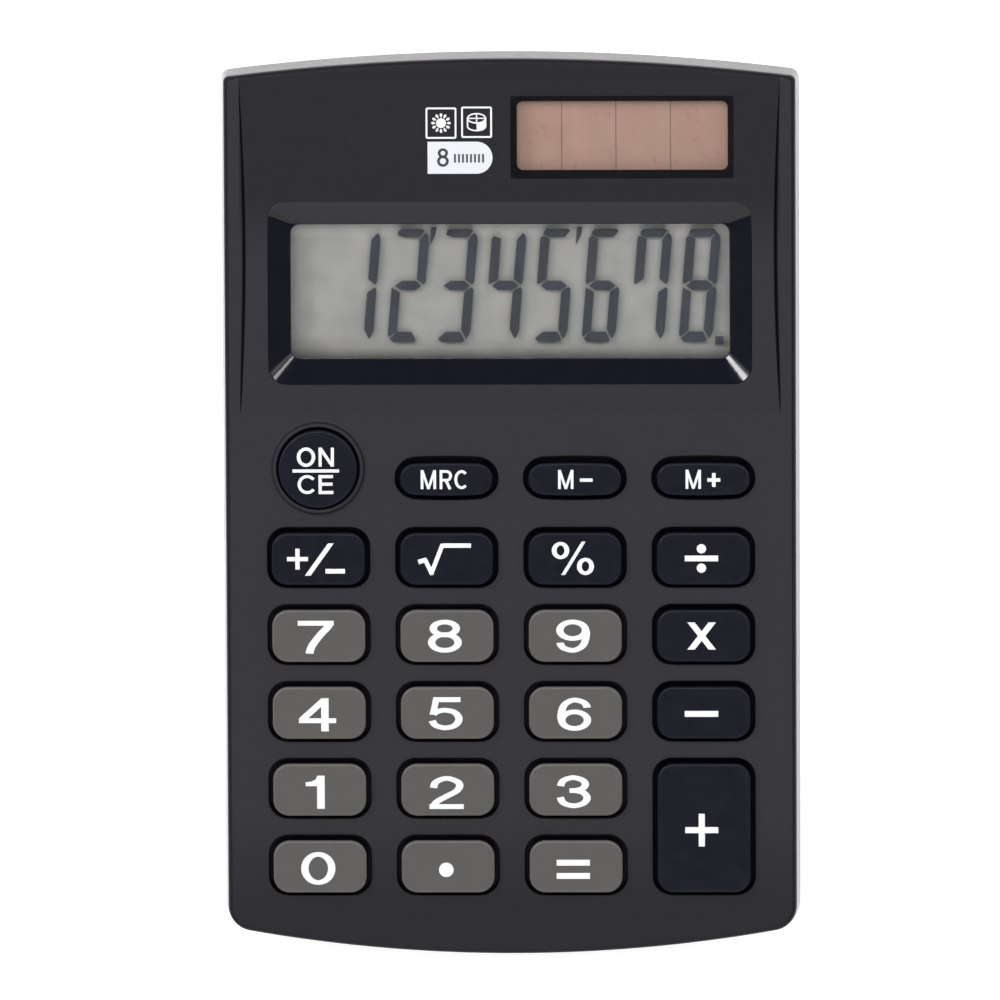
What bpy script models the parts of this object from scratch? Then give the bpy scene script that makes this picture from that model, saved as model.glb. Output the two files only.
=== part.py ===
"""Pocket calculator with eight digits, a solar cell and a button cell, as separate pieces.

Metres, +Z up out of the keys, +Y towards the display end, +X to the right.
The origin is under the middle of the flat back. Sizes below are in millimetres.
"""
import math

import bmesh
import bpy
from mathutils import Matrix, Vector

MM = 0.001

# Case, seen in plan at its widest level, the seam between the two shells
CASE_WIDTH = 62.0
CASE_HALF_LENGTH = 48.9
TOP_RADIUS = 245.0
TOP_CORNER = 1.0
BOTTOM_RADIUS = 162.0
BOTTOM_CORNER = 3.1
SMALLEST_CORNER = 0.35
WALL = 1.5

# Heights above the table
SEAM = 4.6
SEAM_GAP = 0.1
FACE = 9.0
FACE_THICKNESS = 1.5
FACE_INSIDE = FACE - FACE_THICKNESS
FLOOR = 1.5
LIP_TOP = 5.4
CAP_TOP = 10.2
SIDE_DRAFT = 0.36
EDGE_ROUND = 0.6

# Keys
COLUMN_PITCH = 13.78
ROW_PITCH = 8.365
COLUMNS = [(number - 1.5) * COLUMN_PITCH for number in range(4)]
FUNCTION_ROW = -5.35
MEMORY_ROW = 3.27
ON_KEY_PLACE = (COLUMNS[0], 4.38)
ON_KEY_RADIUS = 4.25
ON_HOLE_RADIUS = 4.46
COLLAR_RADIUS = 4.92
COLLAR_TOP = FACE + 0.55
BLOCK_CAP = (10.05, 5.72, 1.75)
PILL_CAP = (10.0, 3.64, 1.6)
TALL_CAP = (BLOCK_CAP[0], BLOCK_CAP[1] + ROW_PITCH, BLOCK_CAP[2])
HOLE_MARGIN = (0.5, 0.43, 0.3)
PILL_HOLE_MARGIN = (0.55, 0.57, 0.6)
FLANGE_MARGIN = (0.3, 0.35)
FLANGE = (6.65, 7.35)
CAP_DRAFT = 0.03
CAP_EDGE = 0.25

# Keypad mat and circuit board
MAT = (4.5, 5.2)
MAT_HALF_WIDTH = 26.7
MAT_ENDS = (-42.6, 9.9)
DOME_TOP = 6.5
DOME_HOLLOW_TOP = 5.95
DOME_SIDES = 8
BOARD = (3.3, 4.4)
BOARD_HALF_WIDTH = 28.5
BOARD_ENDS = (-42.6, 13.6)
STAKES = [(side * COLUMN_PITCH, FUNCTION_ROW - row * ROW_PITCH) for side in (-1, 1) for row in (0.5, 2.5)]
STAKE_RADIUS = 0.7
BOARD_SCREWS = {"board_screw_left": (-27.3, 10.4), "board_screw_right": (27.3, 10.4)}

# Display, centred on the case's middle line
DISPLAY_Y = 23.3
BEZEL = (51.87, 19.76, 1.95)
WINDOW_VIEW = (47.05, 14.5, 0.95)
WINDOW_VIEW_TOP = 7.7
WINDOW_PLATE = (49.9, 16.9, 1.4)
WINDOW = (6.75, 7.3)
GLASS_HALF_WIDTH = 26.0
GLASS_TOP_END = 31.3
FRONT_GLASS_LOW_END = 11.2
REAR_GLASS_LOW_END = 14.0
FRONT_GLASS = (5.75, 6.35)
REAR_GLASS = (5.05, 5.65)
ZEBRA_Y = (11.6, 13.4)
RETAINER_Y = (28.4, 30.9)
RETAINER = (3.5, 4.65)
RETAINER_SCREWS = {"retainer_screw_left": (-27.6, 29.65), "retainer_screw_right": (27.6, 29.65)}

# Solar cell under its opening
SOLAR_PLACE = (12.08, 40.1)
SOLAR_OPENING = (23.7, 8.68, 0.95)
SOLAR_VIEW = (22.6, 7.42, 0.65)
SOLAR_GLASS = (24.8, 9.6, 0.4)
SOLAR = (6.3, 7.4)

# Battery bay in the back, left of the solar cell
BAY = (-14.0, 38.7)
CELL_RADIUS = 5.8
CELL = (1.8, 4.9)
BAY_BORE = 6.1
BAY_RING = 7.0
BAY_TOP = 5.15
DOOR_WIDTH = 17.2
TONGUE_WIDTH = 19.2
DOOR_INNER_END = 29.6
DOOR = (0.12, 1.0)
TONGUE = (0.95, 1.55)
DOOR_GAP = 0.2

# Screws that close the case
CASE_SCREWS = {
    "case_screw_top_left": (-27.2, 41.0),
    "case_screw_top_right": (27.2, 41.0),
    "case_screw_bottom_left": (-COLUMN_PITCH, -44.8),
    "case_screw_bottom_right": (COLUMN_PITCH, -44.8),
}
CASE_SCREW = {"shank": 0.85, "head": 1.45, "levels": (1.0, 2.0, 6.8)}
SMALL_SCREW = {"shank": 0.6, "head": 1.05, "levels": (2.4, 3.2, 6.6)}

# Display hood: a low hump between two bowed side steps that fade out at both ends
HOOD_ENDS = (10.3, 46.4)
HOOD_HEIGHT = 0.5
HOOD_SKEW = 0.75
HOOD_HALF_WIDTH = 28.95
HOOD_BOW = 0.52

COLOURS = {
    "case": ((0.035, 0.034, 0.038), 0.55, 0.0),
    "gloss_black": ((0.012, 0.012, 0.018), 0.12, 0.0),
    "key_black": ((0.016, 0.016, 0.024), 0.35, 0.0),
    "key_grey": ((0.12, 0.115, 0.105), 0.4, 0.0),
    "clear": ((0.9, 0.92, 0.92), 0.05, 0.0),
    "lcd": ((0.33, 0.34, 0.3), 0.3, 0.0),
    "solar": ((0.2, 0.1, 0.08), 0.2, 0.0),
    "rubber": ((0.5, 0.52, 0.54), 0.7, 0.0),
    "zebra": ((0.25, 0.02, 0.05), 0.6, 0.0),
    "board": ((0.25, 0.15, 0.05), 0.5, 0.0),
    "epoxy": ((0.01, 0.01, 0.01), 0.25, 0.0),
    "component": ((0.35, 0.2, 0.1), 0.4, 0.0),
    "steel": ((0.6, 0.6, 0.58), 0.3, 1.0),
    "wire_red": ((0.5, 0.02, 0.02), 0.45, 0.0),
    "wire_black": ((0.01, 0.01, 0.01), 0.45, 0.0),
}


# ---------------------------------------------------------------- helpers

def material_of(colour):
    """A plain material for one kind of piece."""
    found = bpy.data.materials.get(colour)
    if found:
        return found
    base, roughness, metallic = COLOURS[colour]
    material = bpy.data.materials.new(colour)
    material.use_nodes = True
    shader = material.node_tree.nodes["Principled BSDF"]
    shader.inputs["Base Color"].default_value = (*base, 1)
    shader.inputs["Roughness"].default_value = roughness
    shader.inputs["Metallic"].default_value = metallic
    return material


def add_piece(name, bm, colour, place=(0, 0, 0), smooth=False):
    """Turn a mesh in millimetres into an object in metres with its origin at place."""
    bmesh.ops.recalc_face_normals(bm, faces=bm.faces)
    bmesh.ops.scale(bm, vec=(MM, MM, MM), verts=bm.verts)
    mesh = bpy.data.meshes.new(name)
    bm.to_mesh(mesh)
    bm.free()
    mesh.materials.append(material_of(colour))
    if smooth:
        mesh.shade_smooth()
        mesh.set_sharp_from_angle(angle=math.radians(35))
    piece = bpy.data.objects.new(name, mesh)
    piece.location = Vector(place) * MM
    bpy.context.scene.collection.objects.link(piece)
    return piece


def combine(piece, other, operation):
    """Keep a Boolean on the piece; the other object only guides it."""
    modifier = piece.modifiers.new(other.name, "BOOLEAN")
    modifier.operation = operation
    modifier.object = other
    other.hide_render = True
    other.display_type = "WIRE"


def arc(centre, radius, start, end, steps):
    """Points along an arc, with both ends."""
    angles = [start + (end - start) * step / steps for step in range(steps + 1)]
    return [(centre[0] + radius * math.cos(a), centre[1] + radius * math.sin(a)) for a in angles]


def circle(centre, radius, sides):
    """Points round a circle."""
    return arc(centre, radius, 0, 2 * math.pi * (1 - 1 / sides), sides - 1)


def rounded_box(width, height, corner, centre=(0, 0), steps=3):
    """Points round a rectangle with rounded corners."""
    points = []
    for quarter, (side, end) in enumerate(((1, 1), (-1, 1), (-1, -1), (1, -1))):
        middle = (centre[0] + side * (width / 2 - corner), centre[1] + end * (height / 2 - corner))
        points += arc(middle, corner, quarter * math.pi / 2, (quarter + 1) * math.pi / 2, steps)
    return points


def box_outline(x_range, y_range):
    """Points round a plain rectangle."""
    return [(x_range[i], y_range[j]) for i, j in ((1, 1), (0, 1), (0, 0), (1, 0))]


def case_end(apex, radius, corner, inset, corner_steps, arc_steps):
    """One end of the case outline, from its right side over the arc to its left side."""
    half = CASE_WIDTH / 2 - inset
    corner = max(corner - inset, SMALLEST_CORNER)
    middle_y = apex - radius
    radius -= inset
    corner_y = middle_y + math.sqrt((radius - corner) ** 2 - (half - corner) ** 2)
    turn = math.atan2(corner_y - middle_y, half - corner)
    right = arc((half - corner, corner_y), corner, 0, turn, corner_steps)
    over = arc((0, middle_y), radius, turn, math.pi - turn, arc_steps)
    left = arc((corner - half, corner_y), corner, math.pi - turn, math.pi, corner_steps)
    return right[:-1] + over + left[1:]


def case_outline(inset):
    """The case in plan, moved inwards by inset."""
    top = case_end(CASE_HALF_LENGTH, TOP_RADIUS, TOP_CORNER, inset, 3, 10)
    bottom = case_end(CASE_HALF_LENGTH, BOTTOM_RADIUS, BOTTOM_CORNER, inset, 5, 10)
    return top + [(-x, -y) for x, y in bottom]


def skin(bm, rings, closed=False):
    """Join rings of equal length and cap both ends unless closed. A ring is (points, height),
    and its height is a number or a function of y."""
    loops = []
    for points, height in rings:
        loops.append([bm.verts.new((x, y, height(y) if callable(height) else height)) for x, y in points])
    following = loops[1:] + (loops[:1] if closed else [])
    for lower, upper in zip(loops, following):
        for here in range(len(lower)):
            after = (here + 1) % len(lower)
            bm.faces.new((lower[here], lower[after], upper[after], upper[here]))
    if not closed:
        bm.faces.new(loops[0][::-1])
        bm.faces.new(loops[-1])


def prism(bm, points, levels):
    """A straight-sided block from one height to another."""
    skin(bm, [(points, levels[0]), (points, levels[1])])


def turned(bm, profile, sides, place=(0, 0, 0), along="Z"):
    """A turned body: profile is (radius, distance) from one end to the other, along an axis."""
    rings = [(circle((0, 0), radius, sides), distance) for radius, distance in profile]
    part = bmesh.new()
    skin(part, rings)
    turn = {"X": Matrix.Rotation(math.pi / 2, 4, "Y"), "Y": Matrix.Rotation(-math.pi / 2, 4, "X")}
    matrix = Matrix.Translation(place) @ turn.get(along, Matrix.Identity(4))
    bmesh.ops.transform(part, matrix=matrix, verts=part.verts)
    copy_into(bm, part)


def copy_into(bm, part):
    """Add one mesh to another."""
    mesh = bpy.data.meshes.new("part")
    part.to_mesh(mesh)
    part.free()
    bm.from_mesh(mesh)
    bpy.data.meshes.remove(mesh)


def block(name, x_range, y_range, levels, colour):
    """A plain rectangular piece."""
    bm = bmesh.new()
    prism(bm, box_outline(x_range, y_range), levels)
    return add_piece(name, bm, colour)


def grown(size, margin):
    """A rounded rectangle made larger by a margin on each side."""
    corner = size[2] + (margin[2] if len(margin) > 2 else 0)
    return size[0] + 2 * margin[0], size[1] + 2 * margin[1], corner


# ---------------------------------------------------------------- keys

def key_list():
    """Every key but the round one: name, place, cap size, hole size and colour."""
    rows = [
        (FUNCTION_ROW - ROW_PITCH * number, names)
        for number, names in enumerate((
            ("key_sign_change", "key_square_root", "key_percent", "key_divide"),
            ("key_7", "key_8", "key_9", "key_multiply"),
            ("key_4", "key_5", "key_6", "key_minus"),
            ("key_1", "key_2", "key_3"),
            ("key_0", "key_point", "key_equals"),
        ))
    ]
    keys = []
    for number, (y, names) in enumerate(rows):
        for column, name in enumerate(names):
            colour = "key_grey" if number and column < 3 else "key_black"
            keys.append((name, (COLUMNS[column], y), BLOCK_CAP, grown(BLOCK_CAP, HOLE_MARGIN), colour))
    memory_keys = ("key_memory_recall", "key_memory_minus", "key_memory_plus")
    for x, name in zip(COLUMNS[1:], memory_keys):
        keys.append((name, (x, MEMORY_ROW), PILL_CAP, grown(PILL_CAP, PILL_HOLE_MARGIN), "key_black"))
    plus_place = (COLUMNS[3], FUNCTION_ROW - 3.5 * ROW_PITCH)
    keys.append(("key_plus", plus_place, TALL_CAP, grown(TALL_CAP, HOLE_MARGIN), "key_black"))
    return keys


def make_key(name, place, cap, hole, colour):
    """A hard cap that comes up through its hole, on a flange that the face keeps in."""
    flange = grown(hole, FLANGE_MARGIN)
    below_edge = grown(cap, (-CAP_DRAFT, -CAP_DRAFT, -CAP_DRAFT))
    top = grown(below_edge, (-CAP_EDGE, -CAP_EDGE, -CAP_EDGE))
    levels = [(flange, FLANGE[0]), (flange, FLANGE[1]), (cap, FLANGE[1]),
              (below_edge, CAP_TOP - CAP_EDGE), (top, CAP_TOP)]
    bm = bmesh.new()
    skin(bm, [(rounded_box(*size), height - FACE) for size, height in levels])
    add_piece(name, bm, colour, (*place, FACE), smooth=True)


def make_round_key():
    """The on key, inside its raised collar."""
    top = ON_KEY_RADIUS - CAP_DRAFT
    profile = [
        (ON_HOLE_RADIUS + FLANGE_MARGIN[0], FLANGE[0]),
        (ON_HOLE_RADIUS + FLANGE_MARGIN[0], FLANGE[1]),
        (ON_KEY_RADIUS, FLANGE[1]),
        (top, CAP_TOP - CAP_EDGE),
        (top - CAP_EDGE, CAP_TOP),
    ]
    bm = bmesh.new()
    turned(bm, [(radius, height - FACE) for radius, height in profile], 24)
    add_piece("key_on_clear", bm, "key_black", (*ON_KEY_PLACE, FACE), smooth=True)


def make_mat():
    """One silicone mat with a hollow dome under each key."""
    bm = bmesh.new()
    middle = (MAT_ENDS[0] + MAT_ENDS[1]) / 2
    outline = rounded_box(2 * MAT_HALF_WIDTH, MAT_ENDS[1] - MAT_ENDS[0], 1.5, (0, middle))
    prism(bm, outline, MAT)
    mat = add_piece("keypad_mat", bm, "rubber")
    domes, hollows = bmesh.new(), bmesh.new()
    places = [(place, 2.6 if cap[1] > PILL_CAP[1] else 2.1) for _, place, cap, _, _ in key_list()]
    for (x, y), radius in places + [(ON_KEY_PLACE, 2.6)]:
        outer = [(radius, MAT[1] - 0.2), (radius, MAT[1]), (radius - 0.7, DOME_TOP)]
        turned(domes, outer, DOME_SIDES, (x, y, 0))
        inner = [(radius - 0.4, MAT[0] - 0.3), (radius - 0.4, MAT[1]), (radius - 1.0, DOME_HOLLOW_TOP)]
        turned(hollows, inner, DOME_SIDES, (x, y, 0))
    combine(mat, add_piece("mat_domes", domes, "rubber"), "UNION")
    stake_holes = bmesh.new()
    clear = STAKE_RADIUS + 0.2
    for x, y in STAKES:
        turned(stake_holes, [(clear, MAT[0] - 0.3), (clear, MAT[1] + 0.3)], 10, (x, y, 0))
    combine(mat, add_piece("mat_hollows", hollows, "rubber"), "DIFFERENCE")
    combine(mat, add_piece("mat_stake_holes", stake_holes, "rubber"), "DIFFERENCE")


# ---------------------------------------------------------------- case

def hood_rise(y):
    """How far the hood stands above the face at a place along the case."""
    along = (y - HOOD_ENDS[0]) / (HOOD_ENDS[1] - HOOD_ENDS[0])
    if not 0 < along < 1:
        return 0
    return HOOD_HEIGHT * math.sin(math.pi * along ** HOOD_SKEW)


def just_under_hood(drop):
    """The level of the hood's top less a drop, as a function of place along the case."""
    def level(y):
        return FACE + hood_rise(y) - drop
    return level


def make_hood():
    """The hump over the display, sunk a little into the face at both ends."""
    bm = bmesh.new()
    stations = 14
    loops = []
    for station in range(stations + 1):
        along = (station / stations) ** 1.6
        y = HOOD_ENDS[0] + (HOOD_ENDS[1] - HOOD_ENDS[0]) * along
        x = HOOD_HALF_WIDTH - HOOD_BOW * math.sin(math.pi * along)
        top = FACE + (hood_rise(y) or -0.05)
        corners = ((-x, FACE - 0.4), (x, FACE - 0.4), (x, top), (-x, top))
        loops.append([bm.verts.new((cx, y, cz)) for cx, cz in corners])
    for here, after in zip(loops, loops[1:]):
        for number in range(4):
            turn = (number + 1) % 4
            bm.faces.new((here[number], here[turn], after[turn], after[number]))
    bm.faces.new(loops[0])
    bm.faces.new(loops[-1])
    return add_piece("front_hood", bm, "case")


def make_front_shell():
    """The face and upper side walls, with bosses and heat stakes inside."""
    rounding = [
        (SIDE_DRAFT + EDGE_ROUND * (1 - math.cos(a)), FACE - EDGE_ROUND * (1 - math.sin(a)))
        for a in (0, math.pi / 6, math.pi / 3, math.pi / 2)
    ]
    levels = [(WALL + SIDE_DRAFT, FACE_INSIDE), (WALL, SEAM + SEAM_GAP), (0, SEAM + SEAM_GAP)] + rounding
    bm = bmesh.new()
    skin(bm, [(case_outline(inset), height) for inset, height in levels])
    shell = add_piece("front_shell", bm, "case", smooth=True)

    added = bmesh.new()
    into_face = FACE_INSIDE + 0.4
    for x, y in CASE_SCREWS.values():
        turned(added, [(1.6, SEAM - 0.1), (1.6, into_face)], 16, (x, y, 0))
    for x, y in BOARD_SCREWS.values():
        turned(added, [(1.1, BOARD[1] + 0.1), (1.1, into_face)], 12, (x, y, 0))
    for x, y in RETAINER_SCREWS.values():
        turned(added, [(1.1, RETAINER[1] + 0.1), (1.1, into_face)], 12, (x, y, 0))
    for x, y in STAKES:
        head = BOARD[0] - 0.1
        profile = [(0.8, head - 0.5), (1.15, head - 0.35), (1.15, head), (STAKE_RADIUS, head),
                   (STAKE_RADIUS, into_face)]
        turned(added, profile, 10, (x, y, 0))
    turned(added, [(COLLAR_RADIUS, FACE - 0.5), (COLLAR_RADIUS, COLLAR_TOP - 0.15),
                   (COLLAR_RADIUS - 0.15, COLLAR_TOP)], 28, (*ON_KEY_PLACE, 0))
    combine(shell, add_piece("front_added", added, "case"), "UNION")
    combine(shell, make_hood(), "UNION")

    holes = bmesh.new()
    through = (FACE_INSIDE - 0.5, FACE + 1)
    for _, place, _, hole, _ in key_list():
        prism(holes, rounded_box(*hole, centre=place), through)
    on_hole = [(ON_HOLE_RADIUS, through[0]), (ON_HOLE_RADIUS, COLLAR_TOP + 0.5)]
    turned(holes, on_hole, 28, (*ON_KEY_PLACE, 0))
    prism(holes, rounded_box(*grown(BEZEL, (0.12, 0.12, 0.12)), centre=(0, DISPLAY_Y)), through)
    slope = (SOLAR_OPENING[0] - SOLAR_VIEW[0]) / 2 / FACE_THICKNESS
    below, above = slope * (FACE_INSIDE - through[0]), slope * (through[1] - FACE)
    skin(holes, [
        (rounded_box(*grown(SOLAR_VIEW, (-below, -below, -below / 2)), centre=SOLAR_PLACE), through[0]),
        (rounded_box(*grown(SOLAR_OPENING, (above, above, above / 2)), centre=SOLAR_PLACE), through[1]),
    ])
    for x, y in CASE_SCREWS.values():
        turned(holes, [(0.95, SEAM - 0.6), (0.95, FACE_INSIDE - 0.4)], 10, (x, y, 0))
    for x, y in [*BOARD_SCREWS.values(), *RETAINER_SCREWS.values()]:
        turned(holes, [(0.72, BOARD[1] - 0.6), (0.72, FACE_INSIDE - 0.6)], 8, (x, y, 0))
    combine(shell, add_piece("front_holes", holes, "case"), "DIFFERENCE")


def make_rear_shell():
    """The back, its walls and lip, screw posts and the battery bay."""
    levels = [
        (2.35, FLOOR), (2.1, LIP_TOP), (1.6, LIP_TOP), (1.6, SEAM), (0.05, SEAM),
        (0.55, 0.9), (0.72, 0.3), (1.05, 0),
    ]
    bm = bmesh.new()
    skin(bm, [(case_outline(inset), height) for inset, height in levels])
    shell = add_piece("rear_shell", bm, "case", smooth=True)

    added = bmesh.new()
    for x, y in CASE_SCREWS.values():
        turned(added, [(2.0, FLOOR - 0.7), (2.0, SEAM - 0.3)], 16, (x, y, 0))
    combine(shell, add_piece("rear_posts", added, "case"), "UNION")
    frame = bmesh.new()
    half_frame = TONGUE_WIDTH / 2 + 1.5
    frame_outline = box_outline((BAY[0] - half_frame, BAY[0] + half_frame), (DOOR_INNER_END - 1.5, 46.6))
    prism(frame, frame_outline, (FLOOR - 0.7, 2.3))
    combine(shell, add_piece("rear_door_frame", frame, "case"), "UNION")
    ring = bmesh.new()
    turned(ring, [(BAY_RING, FLOOR), (BAY_RING, BAY_TOP)], 28, (*BAY, 0))
    combine(shell, add_piece("rear_bay_ring", ring, "case"), "UNION")

    cuts = bmesh.new()
    for x, y in CASE_SCREWS.values():
        profile = [(1.65, -0.5), (1.65, 2.15), (1.05, 2.15), (1.05, SEAM - 0.25), (1.8, SEAM - 0.25),
                   (1.8, LIP_TOP + 0.5)]
        turned(cuts, profile, 14, (x, y, 0))
    combine(shell, add_piece("rear_screw_holes", cuts, "case"), "DIFFERENCE")
    slot = bmesh.new()
    half = DOOR_WIDTH / 2 + DOOR_GAP
    wide = TONGUE_WIDTH / 2 + DOOR_GAP
    slot_end = DOOR_INNER_END - DOOR_GAP
    past_top = CASE_HALF_LENGTH + 2
    prism(slot, box_outline((BAY[0] - half, BAY[0] + half), (slot_end, past_top)), (-0.5, 1.3))
    combine(shell, add_piece("rear_door_slot", slot, "case"), "DIFFERENCE")
    rails = bmesh.new()
    prism(rails, box_outline((BAY[0] - wide, BAY[0] + wide), (slot_end, past_top)), (0.85, 1.75))
    combine(shell, add_piece("rear_rail_slot", rails, "case"), "DIFFERENCE")
    bore = bmesh.new()
    turned(bore, [(BAY_BORE, 1.2), (BAY_BORE, BAY_TOP + 0.5)], 28, (*BAY, 0))
    combine(shell, add_piece("rear_bay_bore", bore, "case"), "DIFFERENCE")
    notch = bmesh.new()
    notch_outline = box_outline((BAY[0] - 7.6, BAY[0] - 5.3), (BAY[1] - 1.8, BAY[1] + 1.8))
    prism(notch, notch_outline, (2.6, BAY_TOP + 0.5))
    combine(shell, add_piece("rear_contact_notch", notch, "case"), "DIFFERENCE")


def make_battery_door():
    """A plate whose tongues slide in the back's rails and whose end follows the case."""
    middle_y = CASE_HALF_LENGTH - TOP_RADIUS
    radius = TOP_RADIUS - 1.0

    def layer(name, width, levels):
        edges = [width * (step / 6 - 0.5) for step in range(7)]
        end = [(x, middle_y + math.sqrt(radius ** 2 - (x + BAY[0]) ** 2) - BAY[1]) for x in reversed(edges)]
        inner_end = DOOR_INNER_END - BAY[1]
        bm = bmesh.new()
        prism(bm, [*end, (edges[0], inner_end), (edges[-1], inner_end)], levels)
        return add_piece(name, bm, "case", (*BAY, 0))

    door = layer("battery_door", DOOR_WIDTH, DOOR)
    tongues = layer("door_tongues", TONGUE_WIDTH, TONGUE)
    combine(door, tongues, "UNION")


def make_screw(name, place, shape, colour="steel"):
    """A pan-head screw, put in from the back, with a cross-shaped socket."""
    low, shoulder, tip = shape["levels"]
    shank, head = shape["shank"], shape["head"]
    bm = bmesh.new()
    profile = [(head * 0.8, low), (head, low + 0.25), (head, shoulder), (shank, shoulder),
               (shank, tip - 0.6), (shank * 0.4, tip)]
    turned(bm, [(radius, height - low) for radius, height in profile], 12)
    screw = add_piece(name, bm, colour, (*place, low), smooth=True)
    socket = bmesh.new()
    arm, wide, deep = head * 0.6, head * 0.16, 0.45
    cross = [(wide, wide), (wide, arm), (-wide, arm), (-wide, wide), (-arm, wide), (-arm, -wide),
             (-wide, -wide), (-wide, -arm), (wide, -arm), (wide, -wide), (arm, -wide), (arm, wide)]
    prism(socket, cross, (-0.4, deep))
    combine(screw, add_piece(name + "_socket", socket, colour, (*place, low)), "DIFFERENCE")


# ---------------------------------------------------------------- display and power

def make_bezel():
    """A glossy frame with sloped faces, held behind the opening by a thin flange."""
    flange = grown(BEZEL, (0.35, 0.9, 0.3))
    pocket = grown(WINDOW_PLATE, (0.15, 0.15, 0.15))
    rim = grown(BEZEL, (-0.2, -0.2, -0.2))
    levels = [
        (flange, FLANGE[0]), (flange, FACE_INSIDE - 0.12), (BEZEL, FACE_INSIDE - 0.12),
        (BEZEL, just_under_hood(0.15)), (rim, just_under_hood(0.05)),
        (WINDOW_VIEW, WINDOW_VIEW_TOP), (WINDOW_VIEW, WINDOW[1] + 0.1),
        (pocket, WINDOW[1] + 0.1), (pocket, FLANGE[0]),
    ]
    bm = bmesh.new()
    skin(bm, [(rounded_box(*size, centre=(0, DISPLAY_Y)), height) for size, height in levels], closed=True)
    add_piece("display_bezel", bm, "gloss_black")


def make_display():
    """Window, liquid-crystal sandwich, the strip that connects it and the bar that holds it."""
    bm = bmesh.new()
    prism(bm, rounded_box(*WINDOW_PLATE, centre=(0, DISPLAY_Y)), WINDOW)
    add_piece("display_window", bm, "clear")
    film_x = (-25.2, 25.2)
    film_y = (DISPLAY_Y - 8.2, DISPLAY_Y + 7.8)
    glass_x = (-GLASS_HALF_WIDTH, GLASS_HALF_WIDTH)
    block("lcd_front_polarizer", film_x, film_y, (FRONT_GLASS[1] + 0.1, FRONT_GLASS[1] + 0.28), "clear")
    block("lcd_front_glass", glass_x, (FRONT_GLASS_LOW_END, GLASS_TOP_END), FRONT_GLASS, "clear")
    block("lcd_rear_glass", glass_x, (REAR_GLASS_LOW_END, GLASS_TOP_END), REAR_GLASS, "clear")
    block("lcd_reflector", film_x, film_y, (REAR_GLASS[0] - 0.28, REAR_GLASS[0] - 0.1), "lcd")
    block("zebra_strip", (-25, 25), ZEBRA_Y, (BOARD[1] + 0.1, FRONT_GLASS[0] - 0.1), "zebra")
    retainer = block("lcd_retainer", (-28.6, 28.6), RETAINER_Y, RETAINER, "case")
    holes = bmesh.new()
    for x, y in RETAINER_SCREWS.values():
        turned(holes, [(0.75, RETAINER[0] - 0.5), (0.75, RETAINER[1] + 0.5)], 10, (x, y, 0))
    combine(retainer, add_piece("retainer_holes", holes, "case"), "DIFFERENCE")


def make_solar_cell():
    """A glass plate with the photovoltaic film on its back."""
    bm = bmesh.new()
    prism(bm, rounded_box(*SOLAR_GLASS), (SOLAR[0], SOLAR[1]))
    add_piece("solar_cell", bm, "solar", (*SOLAR_PLACE, 0))


def make_board():
    """The circuit board, held by two screws and four heat stakes, and what is soldered to it."""
    board = block("circuit_board", (-BOARD_HALF_WIDTH, BOARD_HALF_WIDTH), BOARD_ENDS, BOARD, "board")
    holes = bmesh.new()
    through = (BOARD[0] - 0.5, BOARD[1] + 0.5)
    clear = STAKE_RADIUS + 0.2
    for x, y in STAKES:
        turned(holes, [(clear, through[0]), (clear, through[1])], 10, (x, y, 0))
    for x, y in BOARD_SCREWS.values():
        turned(holes, [(0.8, through[0]), (0.8, through[1])], 10, (x, y, 0))
    combine(board, add_piece("board_holes", holes, "board"), "DIFFERENCE")

    solder_side = BOARD[0] - 0.1
    chip = bmesh.new()
    turned(chip, [(2.2, -1.1), (3.9, -0.85), (5.0, -0.35), (5.2, 0)], 20)
    add_piece("chip_cover", chip, "epoxy", (0, -15, solder_side), smooth=True)
    disc = bmesh.new()
    turned(disc, [(1.5, -1.1), (1.75, -0.8), (1.75, -0.3), (1.5, 0)], 14)
    add_piece("ceramic_capacitor", disc, "component", (12, 4, solder_side), smooth=True)
    for name, place, radius, length in (
        ("resistor", (-14, 3, 0), 0.7, 3.4),
        ("clamp_diode", (-14, -3.4, 0), 0.75, 3.6),
    ):
        lead, reach = 0.25, length / 2 + 2
        profile = [(lead, -reach), (lead, -length / 2 - 0.01), (radius, -length / 2), (radius, length / 2),
                   (lead, length / 2 + 0.01), (lead, reach)]
        body = bmesh.new()
        turned(body, profile, 10, along="X")
        add_piece(name, body, "component", (place[0], place[1], solder_side - radius), smooth=True)
    can = bmesh.new()
    turned(can, [(1.2, 0), (1.45, 0.25), (1.45, 4.75), (1.3, 5)], 14, along="Y")
    capacitor = add_piece("electrolytic_capacitor", can, "epoxy", (10, 14.6, 3.1), smooth=True)
    leads = bmesh.new()
    for side in (-0.6, 0.6):
        turned(leads, [(0.22, -2.6), (0.22, 0.6)], 6, (side, 0, -0.35), along="Y")
    combine(capacitor, add_piece("capacitor_leads", leads, "steel", (10, 14.6, 3.1)), "UNION")


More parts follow.
